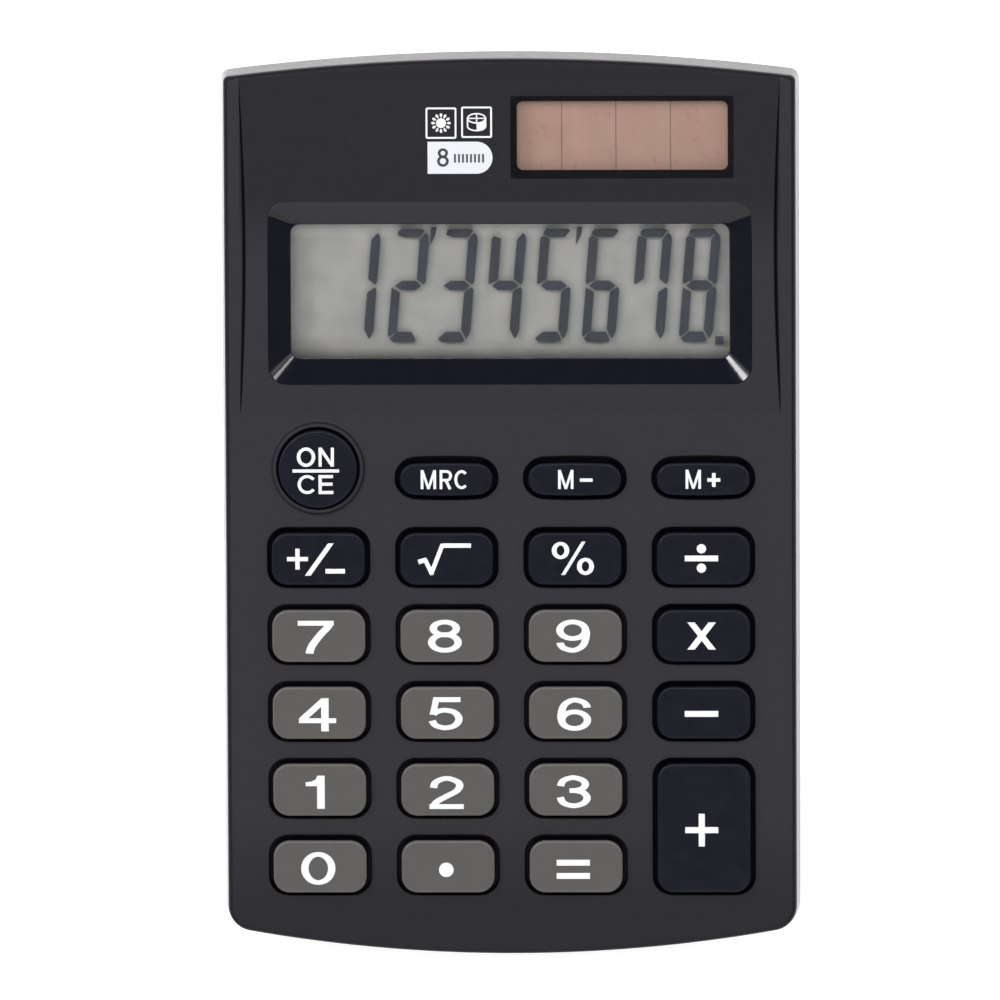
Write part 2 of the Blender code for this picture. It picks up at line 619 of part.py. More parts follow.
def make_battery():
    """The button cell and the two spring contacts that touch it."""
    cell = bmesh.new()
    profile = [(CELL_RADIUS - 0.25, 0), (CELL_RADIUS, 0.25), (CELL_RADIUS, 2.5), (CELL_RADIUS - 0.7, 2.6),
               (CELL_RADIUS - 0.8, 3.1)]
    turned(cell, profile, 32)
    add_piece("button_cell", cell, "steel", (*BAY, CELL[0]), smooth=True)

    thickness = 0.2
    rest = BAY_TOP + 0.1
    strip = bmesh.new()
    outline = [(1.5, 6.7), (-1.5, 6.7), (-1.5, -6.7), (7.7, -6.7), (7.7, -5.2), (1.5, -5.2)]
    prism(strip, outline, (0, thickness))
    negative = add_piece("negative_contact", strip, "steel", (*BAY, rest))
    dimple = bmesh.new()
    turned(dimple, [(0.7, CELL[1] + 0.1 - rest), (1.3, 0.1)], 12)
    combine(negative, add_piece("contact_dimple", dimple, "steel", (*BAY, rest)), "UNION")

    spring = bmesh.new()
    inner = -CELL_RADIUS - 0.12
    bend = [(inner, 2.8), (inner, 4.95), (-9.6, 4.95), (-9.6, 4.75), (inner - thickness, 4.75),
            (inner - thickness, 2.8)]
    near = [spring.verts.new((x, -1.5, z)) for x, z in bend]
    far = [spring.verts.new((x, 1.5, z)) for x, z in bend]
    spring.faces.new(near)
    spring.faces.new(far[::-1])
    for here in range(len(bend)):
        after = (here + 1) % len(bend)
        spring.faces.new((near[here], far[here], far[after], near[after]))
    add_piece("positive_contact", spring, "steel", (*BAY, 0))


def smooth_route(stops, steps):
    """A smooth line through the stops (Catmull-Rom)."""
    ends = [2 * stops[0] - stops[1], *stops, 2 * stops[-1] - stops[-2]]
    points = []
    for a, b, c, d in zip(ends, ends[1:], ends[2:], ends[3:]):
        for step in range(steps):
            t = step / steps
            points.append(0.5 * (2 * b + (c - a) * t + (2 * a - 5 * b + 4 * c - d) * t ** 2
                                 + (3 * b - a - 3 * c + d) * t ** 3))
    return points + [stops[-1]]


def make_lead(name, stops, colour):
    """An insulated wire between two solder joints."""
    curve = bpy.data.curves.new(name, "CURVE")
    curve.dimensions = "3D"
    curve.bevel_depth = 0.42 * MM
    curve.bevel_resolution = 1
    curve.use_fill_caps = True
    points = smooth_route([Vector(stop) for stop in stops], 3)
    spline = curve.splines.new("POLY")
    spline.points.add(len(points) - 1)
    for point, place in zip(spline.points, points):
        point.co = (*(place * MM), 1)
    curve.materials.append(material_of(colour))
    lead = bpy.data.objects.new(name, curve)
    bpy.context.scene.collection.objects.link(lead)


def make_leads():
    """Two wires from the battery contacts and two from the solar cell, under the display."""
    make_lead("battery_lead_red", [
        (-24.1, 38.7, 4.3), (-25.3, 35.5, 3.8), (-25.7, 31.5, 2.9), (-25.5, 26.5, 2.6),
        (-24.9, 19, 2.1), (-24.3, 10.5, 2.72)], "wire_red")
    make_lead("battery_lead_black", [
        (-6.9, 32.7, 4.6), (-6.3, 32.3, 3.6), (-6.1, 30.4, 2.95), (-6.0, 27.2, 2.75),
        (-6.3, 19, 2.1), (-6.6, 10.5, 2.72)], "wire_black")
    make_lead("solar_lead_red", [
        (3.0, 38.2, 5.7), (3.2, 34.8, 4.3), (3.3, 31.4, 2.85), (3.4, 26.5, 2.5),
        (3.8, 19, 2.1), (4.2, 10.5, 2.72)], "wire_red")
    make_lead("solar_lead_black", [
        (21.2, 38.2, 5.7), (21.2, 34.8, 4.3), (21.1, 31.4, 2.85), (20.8, 26.5, 2.5),
        (20.0, 19, 2.1), (19.2, 10.5, 2.72)], "wire_black")


def main():
    for old in list(bpy.data.objects):
        bpy.data.objects.remove(old)
    make_front_shell()
    make_rear_shell()
    make_battery_door()
    for name, place in CASE_SCREWS.items():
        make_screw(name, place, CASE_SCREW)
    for name, place in {**BOARD_SCREWS, **RETAINER_SCREWS}.items():
        make_screw(name, place, SMALL_SCREW)
    for key in key_list():
        make_key(*key)
    make_round_key()
    make_mat()
    make_bezel()
    make_display()
    make_solar_cell()
    make_board()
    make_battery()
    make_leads()


main()
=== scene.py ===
"""Looks of the pocket calculator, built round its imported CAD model.

The frame is in metres with +Z up out of the keys and +Y towards the display end.
Sizes in this script are in millimetres; a mesh turns into metres when it is made.
"""
import math

import bmesh
import bpy
from mathutils import Matrix, Vector, geometry


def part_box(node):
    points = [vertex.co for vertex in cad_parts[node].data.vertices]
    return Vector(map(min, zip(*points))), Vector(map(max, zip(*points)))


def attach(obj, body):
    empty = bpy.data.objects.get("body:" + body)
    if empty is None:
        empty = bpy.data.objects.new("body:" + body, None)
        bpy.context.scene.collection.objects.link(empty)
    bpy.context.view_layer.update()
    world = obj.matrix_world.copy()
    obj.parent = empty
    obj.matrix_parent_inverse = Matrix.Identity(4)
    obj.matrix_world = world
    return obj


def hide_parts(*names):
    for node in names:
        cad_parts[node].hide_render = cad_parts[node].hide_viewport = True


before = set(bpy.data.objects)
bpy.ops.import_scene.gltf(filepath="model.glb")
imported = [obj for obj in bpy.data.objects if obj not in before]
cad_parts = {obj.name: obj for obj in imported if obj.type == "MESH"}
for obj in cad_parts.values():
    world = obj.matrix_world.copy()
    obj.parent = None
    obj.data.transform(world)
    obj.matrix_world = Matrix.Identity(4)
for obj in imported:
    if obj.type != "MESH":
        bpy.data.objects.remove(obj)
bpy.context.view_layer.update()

MM = 0.001


def box(node):
    """Lowest and highest corner of a CAD node, in millimetres."""
    low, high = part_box(node)
    return low / MM, high / MM


def middle(node):
    """The centre of a CAD node's box, in millimetres."""
    low, high = box(node)
    return (low + high) / 2


# Heights and thicknesses
CAP_RISE = 1.2
FLANGE_HEIGHT = 0.7
WALL = 1.5
FLOOR = 1.5
LIP_HEIGHT = 0.8
SEAM_GAP = 0.1

# Levels and places that the CAD model gives
CAP_TOP = box("key_7")[1].z
FLANGE_LOW = box("key_7")[0].z
FACE = CAP_TOP - CAP_RISE
FACE_INSIDE = FACE - WALL
LIP_TOP = box("rear_shell")[1].z
SEAM = LIP_TOP - LIP_HEIGHT
SEAM_TOP = SEAM + SEAM_GAP
CASE_HALF_WIDTH = box("front_shell")[1].x
CASE_HALF_LENGTH = box("front_shell")[1].y
COLLAR_TOP = box("front_shell")[1].z
DISPLAY = middle("display_window")
ON_KEY = middle("key_on_clear")
SOLAR = middle("solar_cell")
BAY = middle("button_cell")
CASE_SCREWS = [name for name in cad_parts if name.startswith("case_screw")]
BOARD_SCREWS = ("board_screw_left", "board_screw_right")
RETAINER_SCREWS = ("retainer_screw_left", "retainer_screw_right")

# The case in plan and in section
TOP_RADIUS = 245.0
TOP_CORNER = 1.0
BOTTOM_RADIUS = 162.0
BOTTOM_CORNER = 3.1
SMALLEST_CORNER = 0.35
SIDE_DRAFT = 0.36
EDGE_ROUND = 0.6
RIM_ROUND = 0.08
BEZEL_RIM_ROUND = 0.03
SOLAR_RIM_ROUND = 0.15

# Openings and caps: width, height and corner radius
BLOCK_CAP = (10.05, 5.72, 1.75)
PILL_CAP = (10.0, 3.64, 1.6)
TALL_CAP = (10.05, 14.085, 1.75)
BLOCK_MARGIN = (0.5, 0.43, 0.3)
PILL_MARGIN = (0.55, 0.57, 0.6)
FLANGE_MARGIN = (0.3, 0.35, 0.0)
PILL_BOW = 0.1
# A bow too small to see, which gives a straight row the same points as a bowed one
STRAIGHT = 1e-9
CAP_DRAFT = 0.03
CAP_ROUND = 0.25
ON_KEY_RADIUS = 4.25
ON_HOLE_RADIUS = 4.46
COLLAR_RADIUS = 4.92
BEZEL = (51.87, 19.76, 1.95)
WINDOW_VIEW = (47.05, 14.5, 0.95)
WINDOW_VIEW_TOP = 7.7
WINDOW_PLATE = (49.9, 16.9, 1.4)
SOLAR_OPENING = (23.7, 8.68, 0.95)
SOLAR_VIEW = (22.6, 7.42, 0.65)
SOLAR_LINES = (5.58, 11.39, 17.24)
SOLAR_LINE_WIDTH = 0.06
SOLAR_FILM_DEPTH = 0.03
UNDER_FACE_GAP = 0.12
DOOR_GAP = 0.2
TONGUE_REACH = 1.0
TONGUE_TOP = 1.0

# The low hood over the display
HOOD_ENDS = (10.3, 46.4)
HOOD_HEIGHT = 0.5
HOOD_SKEW = 0.75
HOOD_HALF_WIDTH = 28.95
HOOD_BOW = 0.52
HOOD_STATIONS = 44
# Across the hood's side, from its top edge down through a groove to the face: distance and level
HOOD_STEP = [(0.0, 1.0), (0.04, 0.94), (0.08, 0.6), (0.11, 0.0), (0.14, -0.55), (0.2, -0.72),
             (0.27, -0.6), (0.35, -0.28), (0.45, -0.07), (0.58, 0.0)]


# ---- materials ----

def linear(red, green, blue):
    """An sRGB colour given in 0 to 255 as a linear colour."""
    values = [value / 255 for value in (red, green, blue)]
    return [v / 12.92 if v <= 0.04045 else ((v + 0.055) / 1.055) ** 2.4 for v in values]


class Finish:
    """A node material, with small helpers for its procedural detail."""

    def __init__(self, name, roughness=0.5, metallic=0.0):
        self.material = bpy.data.materials.new(name)
        self.material.use_nodes = True
        self.tree = self.material.node_tree
        self.shader = self.tree.nodes["Principled BSDF"]
        self.shader.inputs["Roughness"].default_value = roughness
        self.shader.inputs["Metallic"].default_value = metallic
        self.shader.inputs["IOR"].default_value = 1.5
        self.place = self.tree.nodes.new("ShaderNodeTexCoord").outputs["Object"]

    def node(self, kind, inputs=(), **settings):
        """Add a node; inputs are sockets to link or values to set, by name or number."""
        node = self.tree.nodes.new(kind)
        for key, value in settings.items():
            setattr(node, key, value)
        for key, value in dict(inputs).items():
            if isinstance(value, bpy.types.NodeSocket):
                self.tree.links.new(value, node.inputs[key])
            else:
                node.inputs[key].default_value = value
        return node

    def link(self, socket, name):
        """Link a socket to one of the shader's inputs."""
        self.tree.links.new(socket, self.shader.inputs[name])

    def stretched(self, scale):
        """The object's coordinates, scaled by a different amount on each axis."""
        mapping = self.node("ShaderNodeMapping", {"Vector": self.place, "Scale": scale})
        return mapping.outputs[0]

    def noise(self, size, detail=3.0, where=None):
        """Noise from 0 to 1 whose features are about size millimetres wide."""
        return self.node("ShaderNodeTexNoise", {
            "Vector": where or self.place, "Scale": 1 / (size * MM), "Detail": detail,
            "Roughness": 0.55,
        }).outputs[0]

    def spread(self, source, low, high, start=0.3, end=0.7):
        """A value from low to high as the source goes from start to end."""
        inputs = {0: source, 1: start, 2: end, 3: low, 4: high}
        return self.node("ShaderNodeMapRange", inputs).outputs[0]

    def blend(self, factor, first, second):
        """A colour between two, by a factor."""
        mix = self.node("ShaderNodeMix", {0: factor}, data_type="RGBA")
        for socket, value in ((mix.inputs[6], first), (mix.inputs[7], second)):
            if isinstance(value, bpy.types.NodeSocket):
                self.tree.links.new(value, socket)
            else:
                socket.default_value = (*value, 1)
        return mix.outputs[2]

    def math(self, operation, first, second=0.0):
        """One arithmetic step."""
        return self.node("ShaderNodeMath", {0: first, 1: second}, operation=operation).outputs[0]

    def product(self, *factors):
        """Values multiplied together."""
        total = factors[0]
        for factor in factors[1:]:
            total = self.math("MULTIPLY", total, factor)
        return total

    def along(self, axis):
        """One of the object's coordinates."""
        return self.node("ShaderNodeSeparateXYZ", {0: self.place}).outputs[axis]

    def ramp(self, coordinate, start, end):
        """A value from 0 to 1 as a coordinate goes from start to end, in millimetres."""
        return self.spread(coordinate, 0, 1, start * MM, end * MM)

    def near(self, coordinate, centre, reach):
        """1 where a coordinate is within reach of a centre, in millimetres, and 0 elsewhere."""
        off = self.math("ABSOLUTE", self.math("SUBTRACT", coordinate, centre * MM))
        return self.math("LESS_THAN", off, reach * MM)

    def mottle(self, colour, variation, size=4.0):
        """A colour that drifts a little lighter and darker."""
        drift = [[value * (1 + sign * variation) for value in colour] for sign in (-1, 1)]
        return self.blend(self.spread(self.noise(size), 0, 1), *drift)

    def bump(self, height, depth, below=None):
        """Surface relief of a depth in millimetres."""
        inputs = {"Strength": 1.0, "Distance": depth * MM, "Height": height}
        if below is not None:
            inputs["Normal"] = below
        return self.node("ShaderNodeBump", inputs).outputs[0]

    def wander(self, low, high):
        """A value that wanders between two values, for roughness."""
        return self.spread(self.noise(1.5, detail=5.0), low, high)

    def grain(self, size, depth):
        """An even moulded or ground texture."""
        self.link(self.bump(self.noise(size, detail=2.0), depth), "Normal")

    def surface(self, tone, rough, grain):
        """Link a colour and a roughness, and add a grain of a size and depth."""
        self.link(tone, "Base Color")
        self.link(rough, "Roughness")
        self.grain(*grain)
        return self.material


def moulded_plastic(name, colour, roughness, grain, variation=0.06):
    """Moulded plastic with a fine spark-eroded texture and slight handling wear."""
    finish = Finish(name)
    return finish.surface(finish.mottle(colour, variation), finish.wander(*roughness), grain)


def case_plastic():
    """Textured black plastic, smoother on the outer walls; painted shade darkens its low end, the
    hood's top end, its rounded top edge and the insides of its openings, and a painted reflection
    lightens the outer walls.
    """
    finish = Finish("case_plastic")
    finish.shader.inputs["Specular IOR Level"].default_value = 0.17
    finish.shader.inputs["Coat Roughness"].default_value = 0.09
    x, y, z = (finish.along(axis) for axis in "XYZ")

    # Masks: the flat face in plan, the outer walls, their top edge, and the depth of the openings;
    # the colours they carry are painted shade and painted reflection
    past_low_end = finish.math("GREATER_THAN", y, FACE_Y[0] * MM)
    before_top_end = finish.math("LESS_THAN", y, FACE_Y[1] * MM)
    within = finish.product(finish.near(x, 0, FACE_X), before_top_end, past_low_end)
    outside = finish.math("SUBTRACT", 1.0, within)
    # Painted reflection: the outer walls get a lighter colour, on top of their real glossy coat
    wall = finish.product(finish.ramp(z, FACE - 0.15, FACE - 1.0), outside,
                          finish.ramp(z, 0.05, 0.5))
    # Painted shade: the rounded top edge of the outer walls darker
    edge = finish.product(finish.ramp(z, FACE - 0.006, FACE - 0.03), outside, past_low_end)
    # Painted shade: key holes, collar, hood groove and solar opening near black below the face
    inside = finish.product(finish.ramp(z, FACE - 0.04, FACE - 0.2), within)
    opening = finish.product(finish.near(x, SOLAR.x, SOLAR_OPENING[0] / 2 + 0.1),
                             finish.near(y, SOLAR.y, SOLAR_OPENING[1] / 2 + 0.1))
    upper = finish.math("GREATER_THAN", z, 6 * MM)
    inside = finish.product(finish.math("MAXIMUM", inside, opening), upper)

    tone = finish.blend(finish.noise(5.0), *FACE_TONES)
    # Painted shade: the face darker towards its low end, where less light falls
    tone = finish.blend(finish.ramp(y, -33, -43), tone, LOW_END_SHADE_TONE)
    # Painted shade: the hood's top end darker, as its slope turns away from the light
    hood = finish.product(finish.ramp(y, 27, 34), finish.near(x, 0, HOOD_HALF_WIDTH))
    # Blend in the painted shade of the hood end, top edge and openings and the painted reflection
    # of the walls
    for mask, colour in ((hood, HOOD_END_SHADE_TONE), (edge, EDGE_SHADE_TONE), (wall, WALL_REFLECTION_TONE),
                         (inside, OPENING_SHADE_TONE)):
        tone = finish.blend(mask, tone, colour)
    finish.link(finish.product(wall, 0.68), "Coat Weight")
    rough = finish.math("MAXIMUM", finish.wander(0.5, 0.6), finish.product(inside, 0.9))
    return finish.surface(tone, rough, (0.22, 0.01))


def bezel_plastic():
    """Semi-gloss black, with a more matte strip along the top slope that is painted lighter, a
    painted highlight where that slope catches the light.
    """
    finish = Finish("gloss_plastic")
    across = finish.math("ABSOLUTE", finish.along("X"))
    past_view = finish.math("SUBTRACT", across, WINDOW_VIEW[0] / 2 * MM)
    mitre = finish.product(finish.math("MAXIMUM", past_view), 0.45)
    height = finish.math("SUBTRACT", finish.along("Y"), mitre)
    # Painted highlight: the strip along the top slope lighter; its sharp lower end leaves the
    # window's lip black
    upper = finish.ramp(height, DISPLAY.y + 7.33, DISPLAY.y + 7.43)
    tone = finish.blend(finish.noise(4.0), (0.0023, 0.0023, 0.0066), (0.0027, 0.0027, 0.0074))
    tone = finish.blend(upper, tone, (0.017, 0.0165, 0.019))
    rough = finish.math("MAXIMUM", finish.wander(0.12, 0.17), finish.product(upper, 0.4))
    return finish.surface(tone, rough, (0.25, 0.004))


def key_plastic(name, colour, side_shade_colour, roughness, gloss):
    """A cap with a smoother body, its sides and flange painted dark as painted shade in the gap
    round it, and its rounded rim painted lighter as a painted highlight.
    """
    finish = Finish(name)
    finish.shader.inputs["Specular IOR Level"].default_value = gloss
    z = finish.along("Z")
    # Painted shade: below the top, the sides and flange take the darker side colour
    top = finish.ramp(z, CAP_TOP - 0.5, CAP_TOP - 0.28)
    # Painted highlight: the rounded rim of the cap's top is lighter
    rim = finish.ramp(z, CAP_TOP - 0.012, CAP_TOP - 0.09)
    tone = finish.blend(finish.noise(4.0), [v * 0.96 for v in colour], [v * 1.04 for v in colour])
    tone = finish.blend(rim, tone, [v * 1.55 + 0.004 for v in colour])
    tone = finish.blend(top, side_shade_colour, tone)
    smoother = finish.spread(z, 0.35, 1, (CAP_TOP - 1.6) * MM, (CAP_TOP - 1.2) * MM)
    return finish.surface(tone, finish.product(finish.wander(*roughness), smoother), (0.25, 0.0015))


def brushed_metal(name, colour, roughness, stretch=(1, 14, 14)):
    """Metal with fine drawn lines."""
    finish = Finish(name, metallic=1.0)
    lines = finish.noise(0.9, detail=4.0, where=finish.stretched(stretch))
    finish.link(finish.blend(lines, [v * 0.82 for v in colour], colour), "Base Color")
    finish.link(finish.spread(lines, *roughness), "Roughness")
    finish.link(finish.bump(lines, 0.006), "Normal")
    return finish.material


def clear_sheet(name, tint, ior=1.49, roughness=0.04):
    """Clear plate: see-through, with a mirror-like surface that is stronger at a glance."""
    finish = Finish(name)
    finish.tree.nodes.remove(finish.shader)
    relief = finish.bump(finish.noise(6.0, detail=1.0), 0.002)
    gloss = finish.node("ShaderNodeBsdfGlossy", {"Roughness": roughness, "Normal": relief})
    smudge = finish.blend(finish.spread(finish.noise(3.0), 0, 1), [v * 0.985 for v in tint], tint)
    through = finish.node("ShaderNodeBsdfTransparent", {"Color": smudge})
    fresnel = finish.node("ShaderNodeFresnel", {"IOR": ior, "Normal": relief}).outputs[0]
    front = finish.math("SUBTRACT", 1.0, finish.node("ShaderNodeNewGeometry").outputs["Backfacing"])
    mirror = finish.product(fresnel, front)
    layers = {0: mirror, 1: through.outputs[0], 2: gloss.outputs[0]}
    mix = finish.node("ShaderNodeMixShader", layers)
    output = finish.tree.nodes["Material Output"]
    finish.tree.links.new(mix.outputs[0], output.inputs["Surface"])
    return finish.material


def solar_film():
    """Brown amorphous silicon with faint streaks along the strips."""
    finish = Finish("amorphous_film")
    streaks = finish.noise(0.8, detail=4.0, where=finish.stretched((1, 0.12, 1)))
    patches = finish.spread(finish.noise(5.0), 0, 1)
    tone = finish.blend(patches, linear(160, 135, 123), linear(168, 143, 131))
    tone = finish.blend(finish.spread(streaks, 0, 0.25), tone, linear(150, 126, 115))
    return finish.surface(tone, finish.wander(0.25, 0.4), (0.3, 0.003))


def reflector_film():
    """Grey film behind the display, darker at the window's low edge, and painted lighter at its top
    as painted light against the shadow the bezel casts there.
    """
    finish = Finish("reflector_film")
    y = finish.along("Y")
    low_edge, top_edge = (DISPLAY.y + side * WINDOW_VIEW[1] / 2 for side in (-1, 1))
    drift = finish.spread(finish.noise(4.0), 0, 1)
    tone = finish.blend(drift, (0.363, 0.361, 0.336), (0.377, 0.375, 0.35))
    # Painted light: the film lighter near the window's top edge, where the bezel's shadow falls
    tone = finish.blend(finish.ramp(y, top_edge - 1.9, top_edge - 0.4), tone, (0.74, 0.737, 0.695))
    shade = finish.ramp(y, low_edge - 0.4, low_edge + 0.85)
    tone = finish.blend(shade, (0.09, 0.088, 0.082), tone)
    return finish.surface(tone, finish.wander(0.45, 0.6), (0.12, 0.002))


def laminate():
    """Brown phenolic board with green-gold traces under a thin varnish."""
    finish = Finish("board_laminate")
    cells = finish.node("ShaderNodeTexBrick", {
        "Vector": finish.place, "Scale": 1 / (9 * MM), "Mortar Size": 0.06, "Brick Width": 0.8,
        "Row Height": 0.3,
    })
    fibres = finish.blend(finish.noise(0.5), linear(120, 84, 40), linear(148, 108, 58))
    finish.link(finish.blend(cells.outputs["Fac"], linear(58, 92, 52), fibres), "Base Color")
    finish.link(finish.wander(0.35, 0.6), "Roughness")
    weave = finish.bump(finish.noise(0.3), 0.006)
    finish.link(finish.bump(cells.outputs["Fac"], 0.02, weave), "Normal")
    return finish.material


def ribbed_rubber():
    """The strip of alternating conductive and plain layers under the glass."""
    finish = Finish("zebra_rubber", roughness=0.6)
    wave = finish.node("ShaderNodeTexWave", {
        "Vector": finish.place, "Scale": 1 / (2.5 * MM), "Distortion": 0.3,
    })
    tone = finish.blend(wave.outputs["Fac"], linear(170, 96, 110), linear(30, 28, 32))
    finish.link(tone, "Base Color")
    finish.grain(0.2, 0.008)
    return finish.material


# Half width and ends of the flat face in plan, for the case's masks
FACE_X = 29.5
FACE_Y = (-45, 46.5)
FACE_TONES = ((0.0152, 0.0144, 0.0184), (0.0168, 0.016, 0.02))
# Painted shade for the face's low end
LOW_END_SHADE_TONE = (0.0085, 0.0081, 0.0112)
# Painted shade for the hood's top end
HOOD_END_SHADE_TONE = (0.0068, 0.0064, 0.0095)
# Painted shade for the rounded top edge
EDGE_SHADE_TONE = (0.004, 0.0036, 0.006)
# Painted reflection that lightens the outer walls
WALL_REFLECTION_TONE = (0.03, 0.0245, 0.0255)
# Painted shade inside the openings
OPENING_SHADE_TONE = (0.0022, 0.002, 0.005)
CASE_PLASTIC = case_plastic()
GLOSS_PLASTIC = bezel_plastic()
# The second colour of each key is painted shade for its sides and flange
KEY_BLACK = key_plastic("key_black", (0.003, 0.0031, 0.008), (0.0018, 0.0017, 0.0056),
                        roughness=(0.3, 0.38), gloss=0.15)
KEY_GREY = key_plastic("key_grey", (0.07, 0.0665, 0.0635), (0.0028, 0.0026, 0.0072),
                       roughness=(0.28, 0.33), gloss=0.35)
WHITE_PRINT, BADGE_PRINT, DARK_PRINT = (
    moulded_plastic(name, colour, (0.4, 0.55), (0.1, 0.002), 0.02)
    for name, colour in (
        ("white_print", (0.66, 0.67, 0.675)), ("badge_print", (0.57, 0.585, 0.605)),
        ("dark_print", (0.012, 0.014, 0.018)))
)
LCD_INK = moulded_plastic("lcd_segment", (0.026, 0.032, 0.043), (0.4, 0.5), (0.8, 0.001), 0.1)
REFLECTOR = reflector_film()
INNER_PLASTIC = moulded_plastic("inner_plastic", (0.03, 0.03, 0.032), (0.45, 0.6), (0.3, 0.006))
MAT_SILICONE = moulded_plastic("mat_silicone", (0.02, 0.02, 0.024), (0.6, 0.75), (0.4, 0.006))
EPOXY = moulded_plastic("epoxy", (0.01, 0.01, 0.011), (0.15, 0.3), (1.5, 0.02))
SLEEVE = moulded_plastic("capacitor_sleeve", linear(28, 44, 92), (0.3, 0.42), (0.8, 0.006))
CERAMIC = moulded_plastic("ceramic", linear(196, 122, 58), (0.4, 0.55), (0.5, 0.01))
DIODE_GLASS = moulded_plastic("diode_glass", linear(178, 96, 52), (0.06, 0.14), (0.8, 0.004))
RESISTOR = moulded_plastic("resistor_lacquer", linear(196, 170, 122), (0.35, 0.5), (0.6, 0.008))
WIRE_RED = moulded_plastic("wire_red", linear(176, 26, 24), (0.35, 0.5), (0.5, 0.005))
WIRE_BLACK = moulded_plastic("wire_black", linear(26, 26, 28), (0.35, 0.5), (0.5, 0.005))
SCREW_STEEL = brushed_metal("screw_steel", (0.52, 0.52, 0.5), (0.25, 0.42), (1, 1, 5))
CELL_STEEL = brushed_metal("cell_steel", (0.66, 0.66, 0.65), (0.16, 0.3))
CONTACT_STEEL = brushed_metal("contact_steel", (0.6, 0.58, 0.54), (0.22, 0.36), (14, 1, 14))
CLEAR_WINDOW = clear_sheet("clear_window", (0.985, 0.985, 0.99))
POLARIZER = clear_sheet("polarizer_film", (0.965, 0.965, 0.965), ior=1.2, roughness=0.1)
LCD_GLASS = clear_sheet("lcd_glass", (0.99, 0.99, 0.99), ior=1.15, roughness=0.08)
SOLAR_GLASS = clear_sheet("solar_glass", (0.96, 0.94, 0.93))
SOLAR_FILM = solar_film()
LAMINATE = laminate()
ZEBRA_RUBBER = ribbed_rubber()


# ---- shapes in plan ----

def arc(centre, radii, start, end, steps):
    """Points along part of an ellipse, with both ends; angles are in degrees."""
    angles = [math.radians(start + (end - start) * step / steps) for step in range(steps + 1)]
    (x, y), (rx, ry) = centre, radii
    return [(x + rx * math.cos(a), y + ry * math.sin(a)) for a in angles]


def circle(centre, radius, sides=48):
    """Points round a circle."""
    return arc(centre, (radius, radius), 0, 360 * (1 - 1 / sides), sides - 1)


def rounded_box(size, centre=(0, 0), steps=8, bow=0.0):
    """Points round a rectangle with rounded corners; its ends narrow by the share bow."""
    width, height, corner = size
    points = []
    for quarter, (side, end) in enumerate(((1, 1), (-1, 1), (-1, -1), (1, -1))):
        at = (side * (width / 2 - corner), end * (height / 2 - corner))
        points += arc(at, (corner, corner), 90 * quarter, 90 * (quarter + 1), steps)
        if bow and quarter in (0, 2):
            points += [(at[0] * (1 - share), end * height / 2) for share in (0.4, 0.8, 1.2, 1.6)]
    half = width / 2
    return [(centre[0] + x, centre[1] + y * (1 - bow * (x / half) ** 2)) for x, y in points]


def grown(size, margin):
    """A rounded rectangle made larger by a margin on each side."""
    if not isinstance(margin, tuple):
        margin = (margin, margin, margin)
    corner = max(size[2] + margin[2], 0.05)
    return size[0] + 2 * margin[0], size[1] + 2 * margin[1], corner


def case_end(radius, corner, inset, corner_steps=12, arc_steps=48):
    """One end of the case outline, from its right side over the arc to its left side."""
    half = CASE_HALF_WIDTH - inset
    corner = max(corner - inset, SMALLEST_CORNER)
    middle_y = CASE_HALF_LENGTH - radius
    radius -= inset
    corner_y = middle_y + math.sqrt((radius - corner) ** 2 - (half - corner) ** 2)
    turn = math.degrees(math.atan2(corner_y - middle_y, half - corner))
    right = arc((half - corner, corner_y), (corner, corner), 0, turn, corner_steps)
    over = arc((0, middle_y), (radius, radius), turn, 180 - turn, arc_steps)
    left = arc((corner - half, corner_y), (corner, corner), 180 - turn, 180, corner_steps)
    return right[:-1] + over + left[1:]


def case_outline(inset):
    """The case in plan, moved inwards by inset."""
    top = case_end(TOP_RADIUS, TOP_CORNER, inset)
    bottom = case_end(BOTTOM_RADIUS, BOTTOM_CORNER, inset)
    return top + [(-x, -y) for x, y in bottom]


def hood_rise(y):
    """How far the hood stands above the face at a place along the case."""
    along = (y - HOOD_ENDS[0]) / (HOOD_ENDS[1] - HOOD_ENDS[0])
    if not 0 < along < 1:
        return 0.0
    return HOOD_HEIGHT * math.sin(math.pi * along ** HOOD_SKEW)


def on_hood(drop=0.0):
    """The level of the hood's top, less a drop, as a function of place."""
    return lambda x, y: FACE + hood_rise(y) - drop


# ---- mesh tools ----

def level_of(height, x, y):
    """A height that is a number or a function of place."""
    return height(x, y) if callable(height) else height


def loft(bm, rings, closed=False, low_cap=False, high_cap=False):
    """Join rings of equal length, each (points, height), and cap the ends that are asked for."""
    loops = [[bm.verts.new((x, y, level_of(height, x, y))) for x, y in points]
             for points, height in rings]
    for lower, upper in zip(loops, loops[1:] + (loops[:1] if closed else [])):
        for here in range(len(lower)):
            after = (here + 1) % len(lower)
            bm.faces.new((lower[here], lower[after], upper[after], upper[here]))
    if low_cap:
        bm.faces.new(loops[0][::-1])
    if high_cap:
        bm.faces.new(loops[-1])


def turned(bm, profile, centre=(0, 0), sides=48, low_cap=True, high_cap=True):
    """A turned body about an upright axis, from a profile of (radius, height)."""
    rings = [(circle(centre, radius, sides), height) for radius, height in profile]
    loft(bm, rings, low_cap=low_cap, high_cap=high_cap)


def encloses(loop, x, y):
    """True if a point is inside a loop."""
    inside = False
    for here, (x1, y1) in enumerate(loop):
        x2, y2 = loop[here - 1]
        if (y1 > y) != (y2 > y) and x < x1 + (y - y1) * (x2 - x1) / (y2 - y1):
            inside = not inside
    return inside


